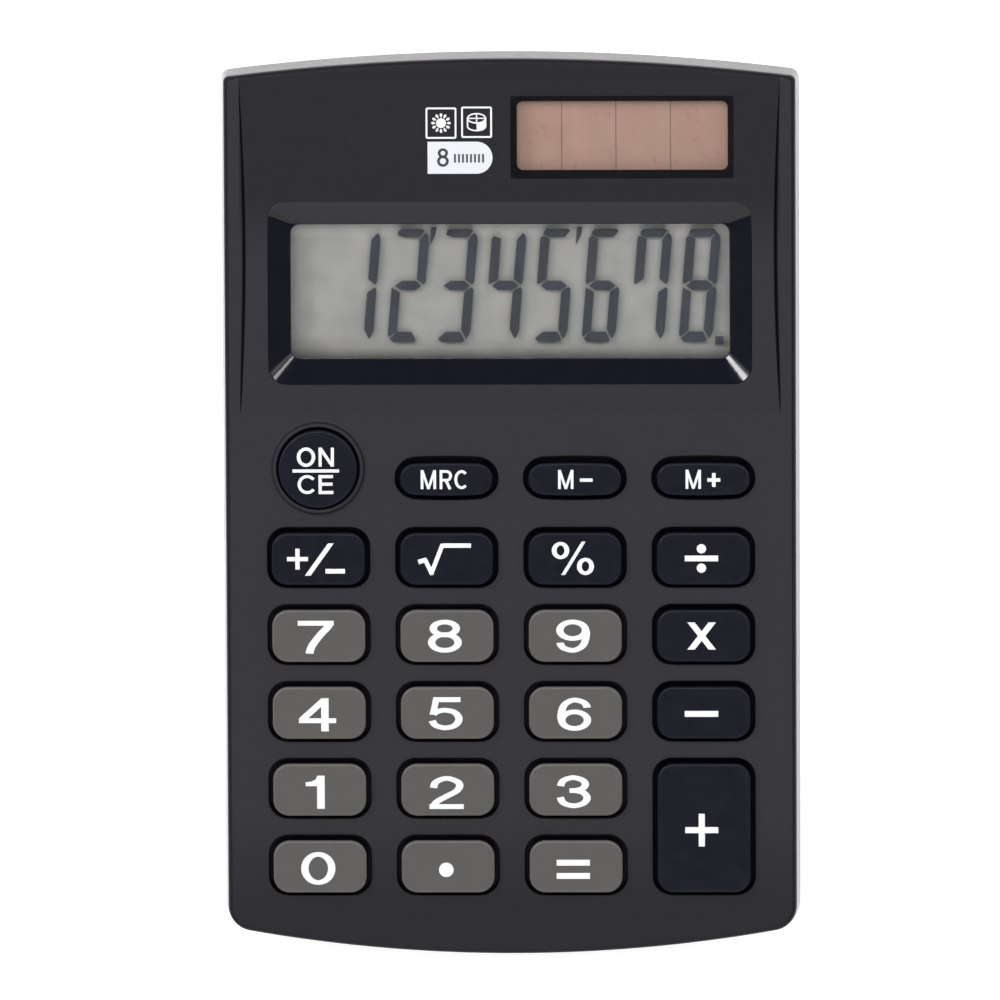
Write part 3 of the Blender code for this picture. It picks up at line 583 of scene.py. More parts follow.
def fill(bm, outer, holes, height, chains=()):
    """Triangles over an area with holes; chains are lines that the triangles must follow."""
    points, edges = [], []
    for number, line in enumerate([outer, *holes, *chains]):
        first = len(points)
        points += [Vector(point) for point in line]
        count = len(line)
        ring = number <= len(holes)
        edges += [(first + i, first + (i + 1) % count) for i in range(count if ring else count - 1)]
    coords, _, triangles = geometry.delaunay_2d_cdt(points, edges, [], 0, 1e-6)[:3]
    boxes = [[limit(point[axis] for point in hole) for axis in (0, 1) for limit in (min, max)]
             for hole in holes]
    verts = {}
    for triangle in triangles:
        x = sum(coords[i][0] for i in triangle) / 3
        y = sum(coords[i][1] for i in triangle) / 3
        near = [hole for hole, (x1, x2, y1, y2) in zip(holes, boxes)
                if x1 < x < x2 and y1 < y < y2]
        if not encloses(outer, x, y) or any(encloses(hole, x, y) for hole in near):
            continue
        for i in triangle:
            if i not in verts:
                verts[i] = bm.verts.new((*coords[i], level_of(height, *coords[i])))
        bm.faces.new([verts[i] for i in triangle])


def new_object(name, data):
    """An object in the scene that shows some data."""
    thing = bpy.data.objects.new(name, data)
    bpy.context.scene.collection.objects.link(thing)
    return thing


def to_object(name, bm):
    """Turn a mesh in millimetres into an object in metres."""
    bmesh.ops.recalc_face_normals(bm, faces=bm.faces)
    bmesh.ops.scale(bm, vec=(MM, MM, MM), verts=bm.verts)
    mesh = bpy.data.meshes.new(name)
    bm.to_mesh(mesh)
    bm.free()
    return new_object(name, mesh)


def finish_piece(name, bm, material, body, nodes=(), sharp=38, smooth=True):
    """Make a piece of a mesh in millimetres, on a body and in the place of CAD nodes."""
    bmesh.ops.remove_doubles(bm, verts=bm.verts, dist=0.0008)
    bmesh.ops.dissolve_degenerate(bm, edges=bm.edges, dist=0.0004)
    piece = to_object(name, bm)
    piece.data.materials.append(material)
    if smooth:
        piece.data.shade_smooth()
        piece.data.set_sharp_from_angle(angle=math.radians(sharp))
        modifier = piece.modifiers.new("weighted_normals", "WEIGHTED_NORMAL")
        modifier.keep_sharp = True
        modifier.weight = 80
    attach(piece, body)
    if nodes:
        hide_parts(*nodes)
    return piece


def rounding(radius, steps=4):
    """A quarter round over an edge: distance from the wall and depth below the top."""
    angles = [math.pi / 2 * step / steps for step in range(steps + 1)]
    return [(radius * (1 - math.sin(a)), radius * (1 - math.cos(a))) for a in angles]


# ---- keys ----

FUNCTION_KEYS = ("sign_change", "square_root", "percent", "divide", "multiply", "minus", "plus")
MEMORY_KEYS = ("memory_recall", "memory_minus", "memory_plus")
GREY_KEYS = (*"0123456789", "point", "equals")
SHAPED_KEYS = (*MEMORY_KEYS, *FUNCTION_KEYS, *GREY_KEYS)


def key_shape(key):
    """A key's cap, its margin to the hole and the bow of its long sides."""
    if key in MEMORY_KEYS:
        return PILL_CAP, PILL_MARGIN, PILL_BOW
    return (TALL_CAP if key == "plus" else BLOCK_CAP), BLOCK_MARGIN, 0.0


def key_hole(key, margin=0.0):
    """Points round a key's hole, made larger by a margin."""
    cap, gap, bow = key_shape(key)
    return rounded_box(grown(grown(cap, gap), margin), middle("key_" + key).xy, bow=bow)


def make_key(key):
    """A cap with softly rounded edges on the flange that keeps it in."""
    cap, gap, bow = key_shape(key)
    centre = middle("key_" + key).xy
    flange = grown(grown(cap, gap), FLANGE_MARGIN)
    flange_top = FLANGE_LOW + FLANGE_HEIGHT
    rings = [(flange, FLANGE_LOW, 0), (flange, flange_top, 0), (cap, flange_top, bow)]
    rings += [(grown(cap, -CAP_DRAFT - out), CAP_TOP - down, bow)
              for out, down in reversed(rounding(CAP_ROUND, 6))]
    bm = bmesh.new()
    rows = [(rounded_box(size, centre, bow=shape or STRAIGHT), height)
            for size, height, shape in rings]
    loft(bm, rows, low_cap=True, high_cap=True)
    material, slot = (KEY_GREY, "key_grey") if key in GREY_KEYS else (KEY_BLACK, "key_black")
    name = "key_" + key
    finish_piece("cap_" + key, bm, material, name, [name])


def make_on_key():
    """The round key inside the collar."""
    top, flange_top = ON_KEY_RADIUS - CAP_DRAFT, FLANGE_LOW + FLANGE_HEIGHT
    flange = ON_HOLE_RADIUS + FLANGE_MARGIN[0]
    profile = [(flange, FLANGE_LOW), (flange, flange_top), (ON_KEY_RADIUS, flange_top)]
    profile += [(top - out, CAP_TOP - down) for out, down in reversed(rounding(CAP_ROUND, 6))]
    bm = bmesh.new()
    turned(bm, profile, ON_KEY.xy, 64)
    finish_piece("cap_on_clear", bm, KEY_BLACK, "key_on_clear", ["key_on_clear"])


# ---- legends ----

DIGIT_PEN = (0.79, 0.5)
LETTER_PEN = (0.31, 0.29)
PRINT = 0.02
# How far a print is set into the surface that it lies on
SUNK = 0.004


def curve(points, steps=7):
    """A smooth line through points."""
    ends = [points[0], *points, points[-1]]
    line = []
    for a, b, c, d in zip(ends, ends[1:], ends[2:], ends[3:]):
        for step in range(steps):
            t = step / steps
            weights = (-t + 2 * t ** 2 - t ** 3, 2 - 5 * t ** 2 + 3 * t ** 3,
                       t + 4 * t ** 2 - 3 * t ** 3, -t ** 2 + t ** 3)
            line.append(tuple(sum(w * p[axis] for w, p in zip(weights, (a, b, c, d))) / 2
                              for axis in (0, 1)))
    return line + [points[-1]]


def pen(line, nib, closed=False):
    """Four-sided areas along a line, as wide as an oval nib makes them."""
    count = len(line)
    sides = []
    for here, (x, y) in enumerate(line):
        before = line[here - 1] if closed or here else line[0]
        after = line[(here + 1) % count] if closed or here < count - 1 else line[-1]
        dx, dy = after[0] - before[0], after[1] - before[1]
        across = (-dy * nib[0], dx * nib[1])
        reach = 2 * math.hypot(*across)
        ox, oy = across[0] * nib[0] / reach, across[1] * nib[1] / reach
        sides.append(((x + ox, y + oy), (x - ox, y - oy)))
    following = sides[1:] + (sides[:1] if closed else [])
    return [[a[0], a[1], b[1], b[0]] for a, b in zip(sides, following)]


def ring(centre, radii, nib=DIGIT_PEN, steps=44):
    """An oval drawn with the pen."""
    return pen(arc(centre, radii, 0, 360 * (1 - 1 / steps), steps - 1), nib, closed=True)


def line(*points, nib=DIGIT_PEN):
    """Straight strokes from point to point."""
    return sum([pen([a, b], nib) for a, b in zip(points, points[1:])], [])


def stroke(*points, nib=DIGIT_PEN):
    """One smooth stroke through points."""
    return pen(curve(points), nib)


def plus(centre, size, width):
    """Two bars that cross."""
    return bar(centre, size, width) + bar(centre, width, size)


def bar(centre, width, height):
    """An upright rectangle."""
    (x, y), w, h = centre, width / 2, height / 2
    return [[(x - w, y - h), (x + w, y - h), (x + w, y + h), (x - w, y + h)]]


def dot(centre, radius, sides=28):
    """A round spot."""
    return [circle(centre, radius, sides)]


def moved(shapes, dx, dy, scale=1.0):
    """Shapes scaled and then moved."""
    return [[(x * scale + dx, y * scale + dy) for x, y in shape] for shape in shapes]


NINE = ring((-0.06, 0.64), (1.38, 0.9)) + stroke(
    (1.32, 0.75), (1.4, 0.1), (1.05, -1.0), (0.1, -1.535), (-0.9, -1.36), (-1.32, -1.0),
    (-1.4, -0.72))

DIGITS = {
    "0": ring((0, 0), (1.45, 1.535)),
    "1": bar((0.33, 0), 0.82, 3.6) + [[
        (0.33, 0.66), (0.33, 1.8), (0.0, 1.8), (-0.27, 1.36), (-0.72, 1.15), (-1.3, 1.08),
        (-1.3, 0.66),
    ]],
    "2": stroke(
        (-1.4, 0.5), (-1.12, 1.14), (0.0, 1.535), (1.12, 1.2), (1.43, 0.74), (1.05, 0.14),
        (0.0, -0.42), (-1.0, -0.98), (-1.4, -1.5),
    ) + bar((0, -1.54), 3.68, 0.52),
    "3": stroke(
        (-1.4, 0.62), (-1.1, 1.2), (-0.08, 1.535), (0.95, 1.26), (1.27, 0.82), (0.95, 0.34),
        (0.1, 0.12),
    ) + stroke(
        (-0.44, 0.12), (0.25, 0.1), (1.1, -0.14), (1.45, -0.7), (1.05, -1.26), (0.0, -1.535),
        (-1.08, -1.22), (-1.44, -0.6),
    ),
    "4": bar((0.79, 0), 0.81, 3.6) + bar((0, -0.64), 4.0, 0.53) + [[
        (-2.0, -0.38), (-1.0, -0.38), (0.39, 0.87), (0.6, 1.4), (0.6, 1.8), (0.42, 1.8),
    ]],
    "5": bar((0.17, 1.53), 2.9, 0.53) + [[
        (-1.29, 1.79), (-0.62, 1.79), (-0.96, 0.16), (-1.02, -0.1), (-1.7, -0.1),
    ]] + stroke(
        (-1.33, -0.06), (-0.85, 0.25), (0.0, 0.38), (1.0, 0.13), (1.45, -0.56), (1.03, -1.25),
        (0.0, -1.535), (-1.05, -1.27), (-1.44, -0.76),
    ),
    "6": moved(NINE, 0, 0, -1),
    "7": bar((0, 1.5), 3.86, 0.53) + stroke(
        (1.5, 1.5), (1.25, 1.05), (0.42, 0.16), (-0.34, -0.85), (-0.62, -1.45), (-0.68, -1.8),
        nib=(0.84, 0.6)),
    "8": ring((0, 0.84), (1.24, 0.7)) + ring((0, -0.68), (1.42, 0.855)),
    "9": NINE,
}

LETTERS = {
    "C": pen(arc((0.05, 0), (0.62, 0.88), 46, 314, 26), LETTER_PEN),
    "C_wide": pen(arc((0.09, 0), (0.86, 0.87), 38, 322, 26), (0.34, 0.31)),
    "E": bar((-0.58, 0), 0.35, 2.06) + bar((0.08, 0.86), 1.45, 0.34)
         + bar((0.08, 0.04), 1.35, 0.34) + bar((0.08, -0.86), 1.5, 0.34),
    "M": bar((-0.68, 0), 0.29, 2.06) + bar((0.68, 0), 0.29, 2.06)
         + line((-0.66, 1.0), (0, -1.0), (0.66, 1.0), nib=(0.26, 0.3)),
    "N": bar((-0.66, 0), 0.33, 2.06) + bar((0.66, 0), 0.33, 2.06)
         + line((-0.66, 0.98), (0.66, -0.98), nib=(0.34, 0.34)),
    "O": ring((0, 0), (0.8, 0.88), (0.38, 0.34)),
    "R": bar((-0.52, 0), 0.29, 2.06) + bar((-0.18, 0.88), 0.7, 0.29)
         + bar((-0.18, -0.06), 0.7, 0.28)
         + pen(arc((0.1, 0.41), (0.41, 0.47), 90, -90, 14), LETTER_PEN)
         + line((-0.02, -0.05), (0.46, -1.03), nib=(0.31, 0.31)),
}


def word(*letters):
    """Letters in a row: each is a letter and the place of its middle."""
    return sum([moved(LETTERS[letter], place, 0) for letter, place in letters], [])


# Each key's legend and where it sits on the cap
LEGENDS = {
    "key_0": (DIGITS["0"], (-0.2, -0.17)),
    "key_1": (DIGITS["1"], (-0.2, -0.23)),
    "key_2": (DIGITS["2"], (-0.13, -0.26)),
    "key_3": (DIGITS["3"], (-0.24, -0.19)),
    "key_4": (DIGITS["4"], (-0.18, -0.17)),
    "key_5": (DIGITS["5"], (-0.2, -0.06)),
    "key_6": (DIGITS["6"], (-0.16, -0.13)),
    "key_7": (DIGITS["7"], (-0.32, -0.08)),
    "key_8": (DIGITS["8"], (-0.23, 0.0)),
    "key_9": (DIGITS["9"], (-0.21, 0.0)),
    "key_point": (dot((0, 0), 0.785), (-0.19, -0.33)),
    "key_equals": (bar((0, 0.72), 3.58, 0.64) + bar((0, -0.72), 3.58, 0.64), (-0.3, -0.28)),
    "key_plus": (plus((0, 0), 3.55, 0.66), (-0.24, -0.2)),
    "key_minus": (bar((0, 0), 3.6, 0.64), (-0.24, -0.1)),
    "key_multiply": ([
        [(side * 1.54, 1.475), (side * 0.74, 1.475), (side * -1.54, -1.475), (side * -0.74, -1.475)]
        for side in (-1, 1)
    ], (-0.2, 0.0)),
    "key_divide": (
        bar((0, 0), 3.58, 0.62) + dot((0, 1.05), 0.505) + dot((0, -1.05), 0.505), (-0.2, 0.05)),
    "key_percent": (
        ring((-1.34, 0.84), (0.68, 0.74), (0.52, 0.38))
        + ring((1.33, -0.88), (0.66, 0.74), (0.52, 0.38))
        + [[(0.93, 1.8), (1.35, 1.8), (-0.86, -1.8), (-1.28, -1.8)]],
        (-0.2, 0.08)),
    "key_square_root": (
        line((-2.98, -0.31), (-2.1, -0.06), nib=(0.5, 0.5))
        + line((-2.26, -0.05), (-1.5, -1.66), nib=(0.46, 0.46))
        + line((-1.64, -1.66), (-0.36, 1.62), nib=(0.46, 0.46)) + bar((1.14, 1.47), 3.06, 0.48),
        (-0.05, 0.0)),
    "key_sign_change": (
        plus((-1.99, 0.05), 2.26, 0.46)
        + [[(1.3, 1.75), (1.92, 1.75), (-0.59, -1.75), (-1.2, -1.75)]]
        + bar((2.06, -1.27), 2.1, 0.5),
        (-0.25, -0.03)),
    "key_memory_recall": (word(("M", -1.75), ("R", 0.12), ("C", 1.76)), (-0.16, 0)),
    "key_memory_minus": (word(("M", -0.93)) + bar((1.27, -0.07), 1.36, 0.36), (-0.02, 0)),
    "key_memory_plus": (
        word(("M", -0.93)) + bar((1.27, -0.07), 1.4, 0.38) + bar((1.27, -0.07), 0.38, 1.5),
        (-0.12, 0)),
    "key_on_clear": (
        moved(word(("O", -1.04), ("N", 1.13)), 0, 1.5) + bar((0, 0), 5.0, 0.34)
        + moved(word(("C_wide", -1.02), ("E", 1.04)), 0, -1.47),
        (-0.215, -0.16)),
}


def make_print(name, shapes, place, height, material, body, thickness=PRINT,
               slant=0.0):
    """A thin film in the shape of overlapping areas, lying on a surface."""
    points, faces = [], []
    for shape in shapes:
        area = sum(a[0] * b[1] - b[0] * a[1] for a, b in zip(shape, shape[1:] + shape[:1]))
        first = len(points)
        ordered = shape if area > 0 else shape[::-1]
        points += [Vector((x + place[0] + slant * y, y + place[1])) for x, y in ordered]
        faces.append(list(range(first, first + len(shape))))
    coords, _, triangles, _, _, sources = geometry.delaunay_2d_cdt(points, [], faces, 1, 1e-6)
    bm = bmesh.new()
    verts = [bm.verts.new((*point, level_of(height, *point))) for point in coords]
    for triangle, source in zip(triangles, sources):
        if source:
            bm.faces.new([verts[i] for i in triangle])
    bmesh.ops.delete(bm, geom=[vert for vert in verts if not vert.link_faces], context="VERTS")
    raised = bmesh.ops.extrude_face_region(bm, geom=bm.faces[:])
    top = [item for item in raised["geom"] if isinstance(item, bmesh.types.BMVert)]
    bmesh.ops.translate(bm, verts=top, vec=(0, 0, thickness))
    return finish_piece(name, bm, material, body, smooth=False)


def make_legends():
    """The print on every key."""
    for name, (shapes, (dx, dy)) in LEGENDS.items():
        x, y = middle(name).xy
        legend = name.replace("key_", "legend_")
        make_print(legend, shapes, (x + dx, y + dy), CAP_TOP - SUNK, WHITE_PRINT, name)


# ---- case ----

def hood_edge(along):
    """Half the width of the hood's top at a share of its length."""
    return HOOD_HALF_WIDTH - HOOD_BOW * math.sin(math.pi * along)


def make_upper_case():
    """The face with its hood, collar and openings, and the walls down to the seam."""
    bm = bmesh.new()

    # Outer walls, rounded over to the face
    levels = [(0.0, SEAM_TOP), (SIDE_DRAFT * 0.5, (SEAM_TOP + FACE - EDGE_ROUND) / 2)]
    levels += [(SIDE_DRAFT + out, FACE - down) for out, down in reversed(rounding(EDGE_ROUND, 7))]
    loft(bm, [(case_outline(inset), height) for inset, height in levels])
    face_edge = case_outline(SIDE_DRAFT + EDGE_ROUND)

    # The hood's bowed side steps
    stations = [(step / HOOD_STATIONS) ** 1.35 for step in range(HOOD_STATIONS + 1)]
    strips = []
    for along in stations:
        y = HOOD_ENDS[0] + (HOOD_ENDS[1] - HOOD_ENDS[0]) * along
        rise = hood_rise(y)
        share = rise / HOOD_HEIGHT
        strips.append([
            (hood_edge(along) + (out - 0.2) * share ** 0.6, y,
             FACE + level * (rise if level > 0 else HOOD_HEIGHT * share ** 0.5))
            for out, level in HOOD_STEP
        ])
    for side in (1, -1):
        rows = [[bm.verts.new((side * x, y, z)) for x, y, z in strip] for strip in strips]
        for here, after in zip(rows, rows[1:]):
            for a, b, c, d in zip(here, here[1:], after[1:], after):
                bm.faces.new((a, b, c, d))
    inner = [strip[0] for strip in strips]
    outer = [strip[-1] for strip in strips]
    hood_top = [(x, y) for x, y, _ in inner] + [(-x, y) for x, y, _ in reversed(inner)]
    footprint = [(x, y) for x, y, _ in outer] + [(-x, y) for x, y, _ in reversed(outer)]
    chains = [[(-x, y), (x, y)] for x, y, _ in inner[1:-1:2]]

    # Openings: their rounded rims and the walls down to the underside
    below, on_hood_holes, on_face_holes = [], [], []
    for key in SHAPED_KEYS:
        rim = [(key_hole(key, out), FACE - down) for out, down in rounding(RIM_ROUND)]
        loft(bm, rim + [(key_hole(key), FACE_INSIDE)])
        on_face_holes.append(rim[0][0])
        below.append(key_hole(key))
    for size, low_size, centre, radius in ((BEZEL, BEZEL, DISPLAY.xy, BEZEL_RIM_ROUND),
                                           (SOLAR_OPENING, SOLAR_VIEW, SOLAR.xy, SOLAR_RIM_ROUND)):
        rim = [(rounded_box(grown(size, out), centre), on_hood(down))
               for out, down in rounding(radius)]
        low_edge = rounded_box(low_size, centre)
        loft(bm, rim + [(low_edge, FACE_INSIDE)])
        on_hood_holes.append(rim[0][0])
        below.append(low_edge)

    # Collar round the on key
    foot = ((0.3, 0), (0.14, 0.04), (0.04, 0.13), (0, 0.28))
    outer_top = ((-0.02, 0.13), (-0.07, 0.04), (-0.15, 0))
    inner_top = ((0.13, 0), (0.05, 0.03), (0, 0.12))
    collar = [(COLLAR_RADIUS + out, FACE + up) for out, up in foot]
    for radius, profile in ((COLLAR_RADIUS, outer_top), (ON_HOLE_RADIUS, inner_top)):
        collar += [(radius + out, COLLAR_TOP - down) for out, down in profile]
    collar.append((ON_HOLE_RADIUS, FACE_INSIDE))
    turned(bm, collar, ON_KEY.xy, 72, low_cap=False, high_cap=False)
    on_face_holes.append(circle(ON_KEY.xy, collar[0][0], 72))
    below.append(circle(ON_KEY.xy, ON_HOLE_RADIUS, 72))

    fill(bm, face_edge, [footprint, *on_face_holes], FACE)
    fill(bm, hood_top, on_hood_holes, on_hood(), chains)

    # Underside and the inner wall
    inside = case_outline(WALL + SIDE_DRAFT)
    fill(bm, inside, below, FACE_INSIDE)
    loft(bm, [(inside, FACE_INSIDE), (case_outline(WALL), SEAM_TOP), (case_outline(0), SEAM_TOP)])
    add_bosses(bm)
    finish_piece("upper_case", bm, CASE_PLASTIC, "housing", ["front_shell"])


def add_bosses(bm):
    """Screw bosses and heat stakes that stand on the underside of the face."""
    into_face = FACE_INSIDE + 0.3
    board_top = box("circuit_board")[1].z
    retainer_top = box("lcd_retainer")[1].z
    # Screws, radius of the boss and of its bore, and its low end
    bosses = [(CASE_SCREWS, 1.6, 0.95, SEAM - 0.1), (BOARD_SCREWS, 1.1, 0.72, board_top + 0.1),
              (RETAINER_SCREWS, 1.1, 0.72, retainer_top + 0.1)]
    for screws, radius, bore, low in bosses:
        for name in screws:
            profile = [(bore, FACE_INSIDE - 0.4), (bore, low), (radius, low), (radius, into_face)]
            turned(bm, profile, middle(name).xy, 32)
    head = box("circuit_board")[0].z - 0.1
    for first, second in (("key_sign_change", "key_8"), ("key_percent", "key_multiply"),
                          ("key_4", "key_2"), ("key_minus", "key_3")):
        place = (middle(first).xy + middle(second).xy) / 2
        profile = [(0.8, head - 0.5), (1.15, head - 0.35), (1.15, head), (0.7, head),
                   (0.7, into_face)]
        turned(bm, profile, place, 24)


def carve(piece, operation, guide_mesh):
    """Add a closed mesh to a piece or take it away, and keep only the result."""
    guide = to_object("guide", guide_mesh)
    modifier = piece.modifiers.new("carve", "BOOLEAN")
    modifier.object = guide
    modifier.operation = operation
    bpy.context.view_layer.update()
    evaluated = piece.evaluated_get(bpy.context.evaluated_depsgraph_get())
    result = bpy.data.meshes.new_from_object(evaluated)
    piece.modifiers.remove(modifier)
    spent = (piece.data, guide.data)
    piece.data = result
    bpy.data.objects.remove(guide)
    for mesh in spent:
        bpy.data.meshes.remove(mesh)


def make_bezel():
    """The glossy frame whose faces slope down to the window."""
    flange = grown(BEZEL, (0.35, 0.9, 0.3))
    pocket = grown(WINDOW_PLATE, 0.15)
    pocket_top = box("display_window")[1].z + 0.1
    bezel_low = box("display_bezel")[0].z
    flange_top = FACE_INSIDE - UNDER_FACE_GAP
    rings = [
        (flange, bezel_low),
        (flange, flange_top),
        (BEZEL, flange_top),
        (grown(BEZEL, -0.02), flange_top),
        (grown(BEZEL, -0.02), on_hood(0.05)),
        (grown(BEZEL, -0.06), on_hood(0.03)),
        (grown(BEZEL, -0.14), on_hood(0.08)),
        (grown(WINDOW_VIEW, 0.1), WINDOW_VIEW_TOP + 0.07),
        (grown(WINDOW_VIEW, 0.03), WINDOW_VIEW_TOP + 0.02),
        (WINDOW_VIEW, WINDOW_VIEW_TOP - 0.05),
        (WINDOW_VIEW, pocket_top),
        (pocket, pocket_top),
        (pocket, bezel_low),
    ]
    bm = bmesh.new()
    loft(bm, [(rounded_box(size, DISPLAY.xy), height) for size, height in rings], closed=True)
    finish_piece("bezel", bm, GLOSS_PLASTIC, "housing", ["display_bezel"])


# ---- display ----

# A lit digit, upright and centred, as areas in millimetres
SEGMENTS = {
    "a": [(-1.53, 5.9), (-1.25, 6.15), (1.04, 6.15), (1.3, 5.94), (0.76, 5.24), (-0.8, 5.24),
          (-1.58, 5.5)],
    "b": [(1.45, 5.72), (1.7, 5.5), (1.85, 4.95), (1.85, 0.42), (1.62, 0.13), (0.86, 0.74),
          (0.85, 4.98)],
    "c": [(0.86, -0.74), (1.62, -0.16), (1.85, -0.4), (1.88, -4.85), (1.66, -5.5), (1.46, -5.74),
          (0.86, -4.7)],
    "d": [(-1.55, -5.72), (-0.78, -4.98), (0.76, -4.98), (1.3, -5.92), (1.12, -6.08),
          (-1.15, -6.08)],
    "e": [(-1.76, -0.18), (-0.84, -0.72), (-0.8, -4.82), (-1.6, -5.55), (-1.76, -5.3)],
    "f": [(-1.85, 5.12), (-1.66, 5.38), (-0.86, 5.12), (-0.82, 0.74), (-1.64, 0.14), (-1.83, 0.3)],
    "g": [(-1.42, 0), (-0.7, 0.55), (0.74, 0.55), (1.42, 0), (0.8, -0.48), (-0.7, -0.48)],
}
LIT = {"1": "bc", "2": "abged", "3": "abgcd", "4": "fgbc", "5": "afgcd", "6": "afgcde",
       "7": "fabc", "8": "abcdefg"}
DIGIT_PITCH = 5.214
LAST_DIGIT_X = 20.28
DIGITS_Y = 23.66
DIGIT_SLANT = 0.0857
SEGMENT_DEPTH = 0.05
SEPARATOR = [(1.96, 6.36), (1.97, 5.5), (2.0, 4.32), (2.46, 5.4), (2.57, 6.36)]


def make_readout():
    """The lit segments between the two glasses."""
    low = box("lcd_rear_glass")[1].z + 0.02
    for number, digit in enumerate("87654321"):
        centre = (LAST_DIGIT_X - number * DIGIT_PITCH, DIGITS_Y)
        shapes = [SEGMENTS[segment] for segment in LIT[digit]]
        if digit in "25":
            shapes.append(SEPARATOR)
        if digit == "8":
            shapes += bar((2.62, -5.96), 0.84, 0.92)
        make_print("readout_" + digit, shapes, centre, low, LCD_INK, "housing",
                   thickness=SEGMENT_DEPTH, slant=DIGIT_SLANT)


def make_solar_panel():
    """Four film panels under the cell's glass, with a thin dark line between neighbours."""
    low, high = box("solar_cell")
    film_top = low.z + 0.35
    film_low = film_top - 0.02
    width, height = high.x - low.x, high.y - low.y
    outline = rounded_box((width, height, 0.4), SOLAR.xy, 4)
    for name, levels, material, nodes in (
        ("solar_glass", (film_top + 0.12, high.z - 0.05), SOLAR_GLASS, ["solar_cell"]),
        ("solar_carrier", (low.z, film_low), DARK_PRINT, ()),
    ):
        bm = bmesh.new()
        loft(bm, [(outline, level) for level in levels], low_cap=True, high_cap=True)
        finish_piece(name, bm, material, "housing", nodes)
    edges = [low.x + 0.25, *SOLAR_LINES, high.x - 0.25]
    for number, (left, right) in enumerate(zip(edges, edges[1:]), 1):
        panel = bar(((left + right) / 2, SOLAR.y), right - left - SOLAR_LINE_WIDTH, height - 0.5)
        make_print(f"solar_panel_{number}", panel, (0, 0), film_low, SOLAR_FILM, "housing",
                   SOLAR_FILM_DEPTH)


# ---- print on the hood ----

SYMBOL_FRAME = (3.3, 3.36, 0.2)
FRAME_LINE = 0.19
SUN_RAY = [(0.62, -0.05), (0.84, -0.14), (0.98, -0.13), (1.07, 0.0), (0.98, 0.13), (0.84, 0.14),
           (0.62, 0.05)]
SUN_RAYS = 12
# Left end, right end and half the height of the badge
BADGE = (-3.4, 3.55, 1.72)
BADGE_END_RADIUS = 1.7
BADGE_PLACE = (-5.34, 37.93)
SUN_PLACE = (-7.29, 41.65)
CELL_PLACE = (-3.48, 41.74)


def symbol_frame():
    """The rectangular line with rounded corners round a symbol."""
    outer = rounded_box(SYMBOL_FRAME, steps=3)
    inner = rounded_box(grown(SYMBOL_FRAME, (-FRAME_LINE, -FRAME_LINE, -FRAME_LINE * 0.6)), steps=3)
    count = len(outer)
    return [[outer[i], outer[(i + 1) % count], inner[(i + 1) % count], inner[i]]
            for i in range(count)]


def make_symbols():
    """Symbols for sun and cell power and an eight-place badge, none of them lettering."""
    on_top = on_hood(SUNK)
    sun = symbol_frame() + dot((0, 0), 0.53)
    for number in range(SUN_RAYS):
        angle = 2 * math.pi * number / SUN_RAYS
        cos, sin = math.cos(angle), math.sin(angle)
        sun.append([(x * cos - y * sin, x * sin + y * cos) for x, y in SUN_RAY])
    make_print("symbol_sun", sun, SUN_PLACE, on_top, WHITE_PRINT, "housing")

    top, top_radii, base, base_radii = (0, 0.42), (0.96, 0.5), (0, -0.45), (0.96, 0.45)
    cell = symbol_frame() + pen(arc(top, top_radii, 0, 352, 30), (0.15, 0.15), closed=True)
    cell += bar(top, 0.14, 1.0) + bar(top, 1.9, 0.13)
    cell += bar((-0.97, 0.0), 0.15, 0.9) + bar((0.97, 0.0), 0.15, 0.9)
    cell += pen(arc(base, base_radii, 180, 360, 20), (0.15, 0.15))
    cell += [arc(top, top_radii, 270, 360, 10) + arc(base, base_radii, 360, 270, 10)]
    make_print("symbol_cell", cell, CELL_PLACE, on_top, WHITE_PRINT, "housing")

    left, right, half = BADGE
    centre = right - BADGE_END_RADIUS
    end = arc((centre, 0), (BADGE_END_RADIUS, half), -84, 84, 20)
    badge = [[(left, -half), (centre, -half), *end, (centre, half), (left, half)]]
    make_print("badge", badge, BADGE_PLACE, on_top, BADGE_PRINT, "housing")
    nib = (0.3, 0.27)
    marks = ring((-1.76, 0.5), (0.4, 0.38), nib) + ring((-1.76, -0.37), (0.48, 0.46), nib)
    for place in range(8):
        marks += bar((-0.47 + 0.43 * place, -0.06), 0.2, 0.92)
    on_badge = on_hood(SUNK * 2 - PRINT)
    make_print("badge_marks", marks, BADGE_PLACE, on_badge, DARK_PRINT, "housing")


# ---- back ----

# Posts of the case screws: radius of the post, of the head's pocket and of the shank's hole,
# and the level on which the head sits
SCREW_POST = (2.0, 1.65, 1.05, 2.15)
BAY_RING_RADIUS = 7.0
BAY_BORE_RADIUS = 6.1
BAY_TOP = 5.15
# Half the width of the slot in the bay's ring for the contact, and its low end
CONTACT_SLOT = (1.8, 2.6)
RIDGES = 5
RIDGE_PITCH = 0.9


def slab(x_range, y_range, levels):
    """A closed rectangular block."""
    bm = bmesh.new()
    outline = [(x_range[i], y_range[j]) for i, j in ((1, 1), (0, 1), (0, 0), (1, 0))]
    loft(bm, [(outline, level) for level in levels], low_cap=True, high_cap=True)
    return bm


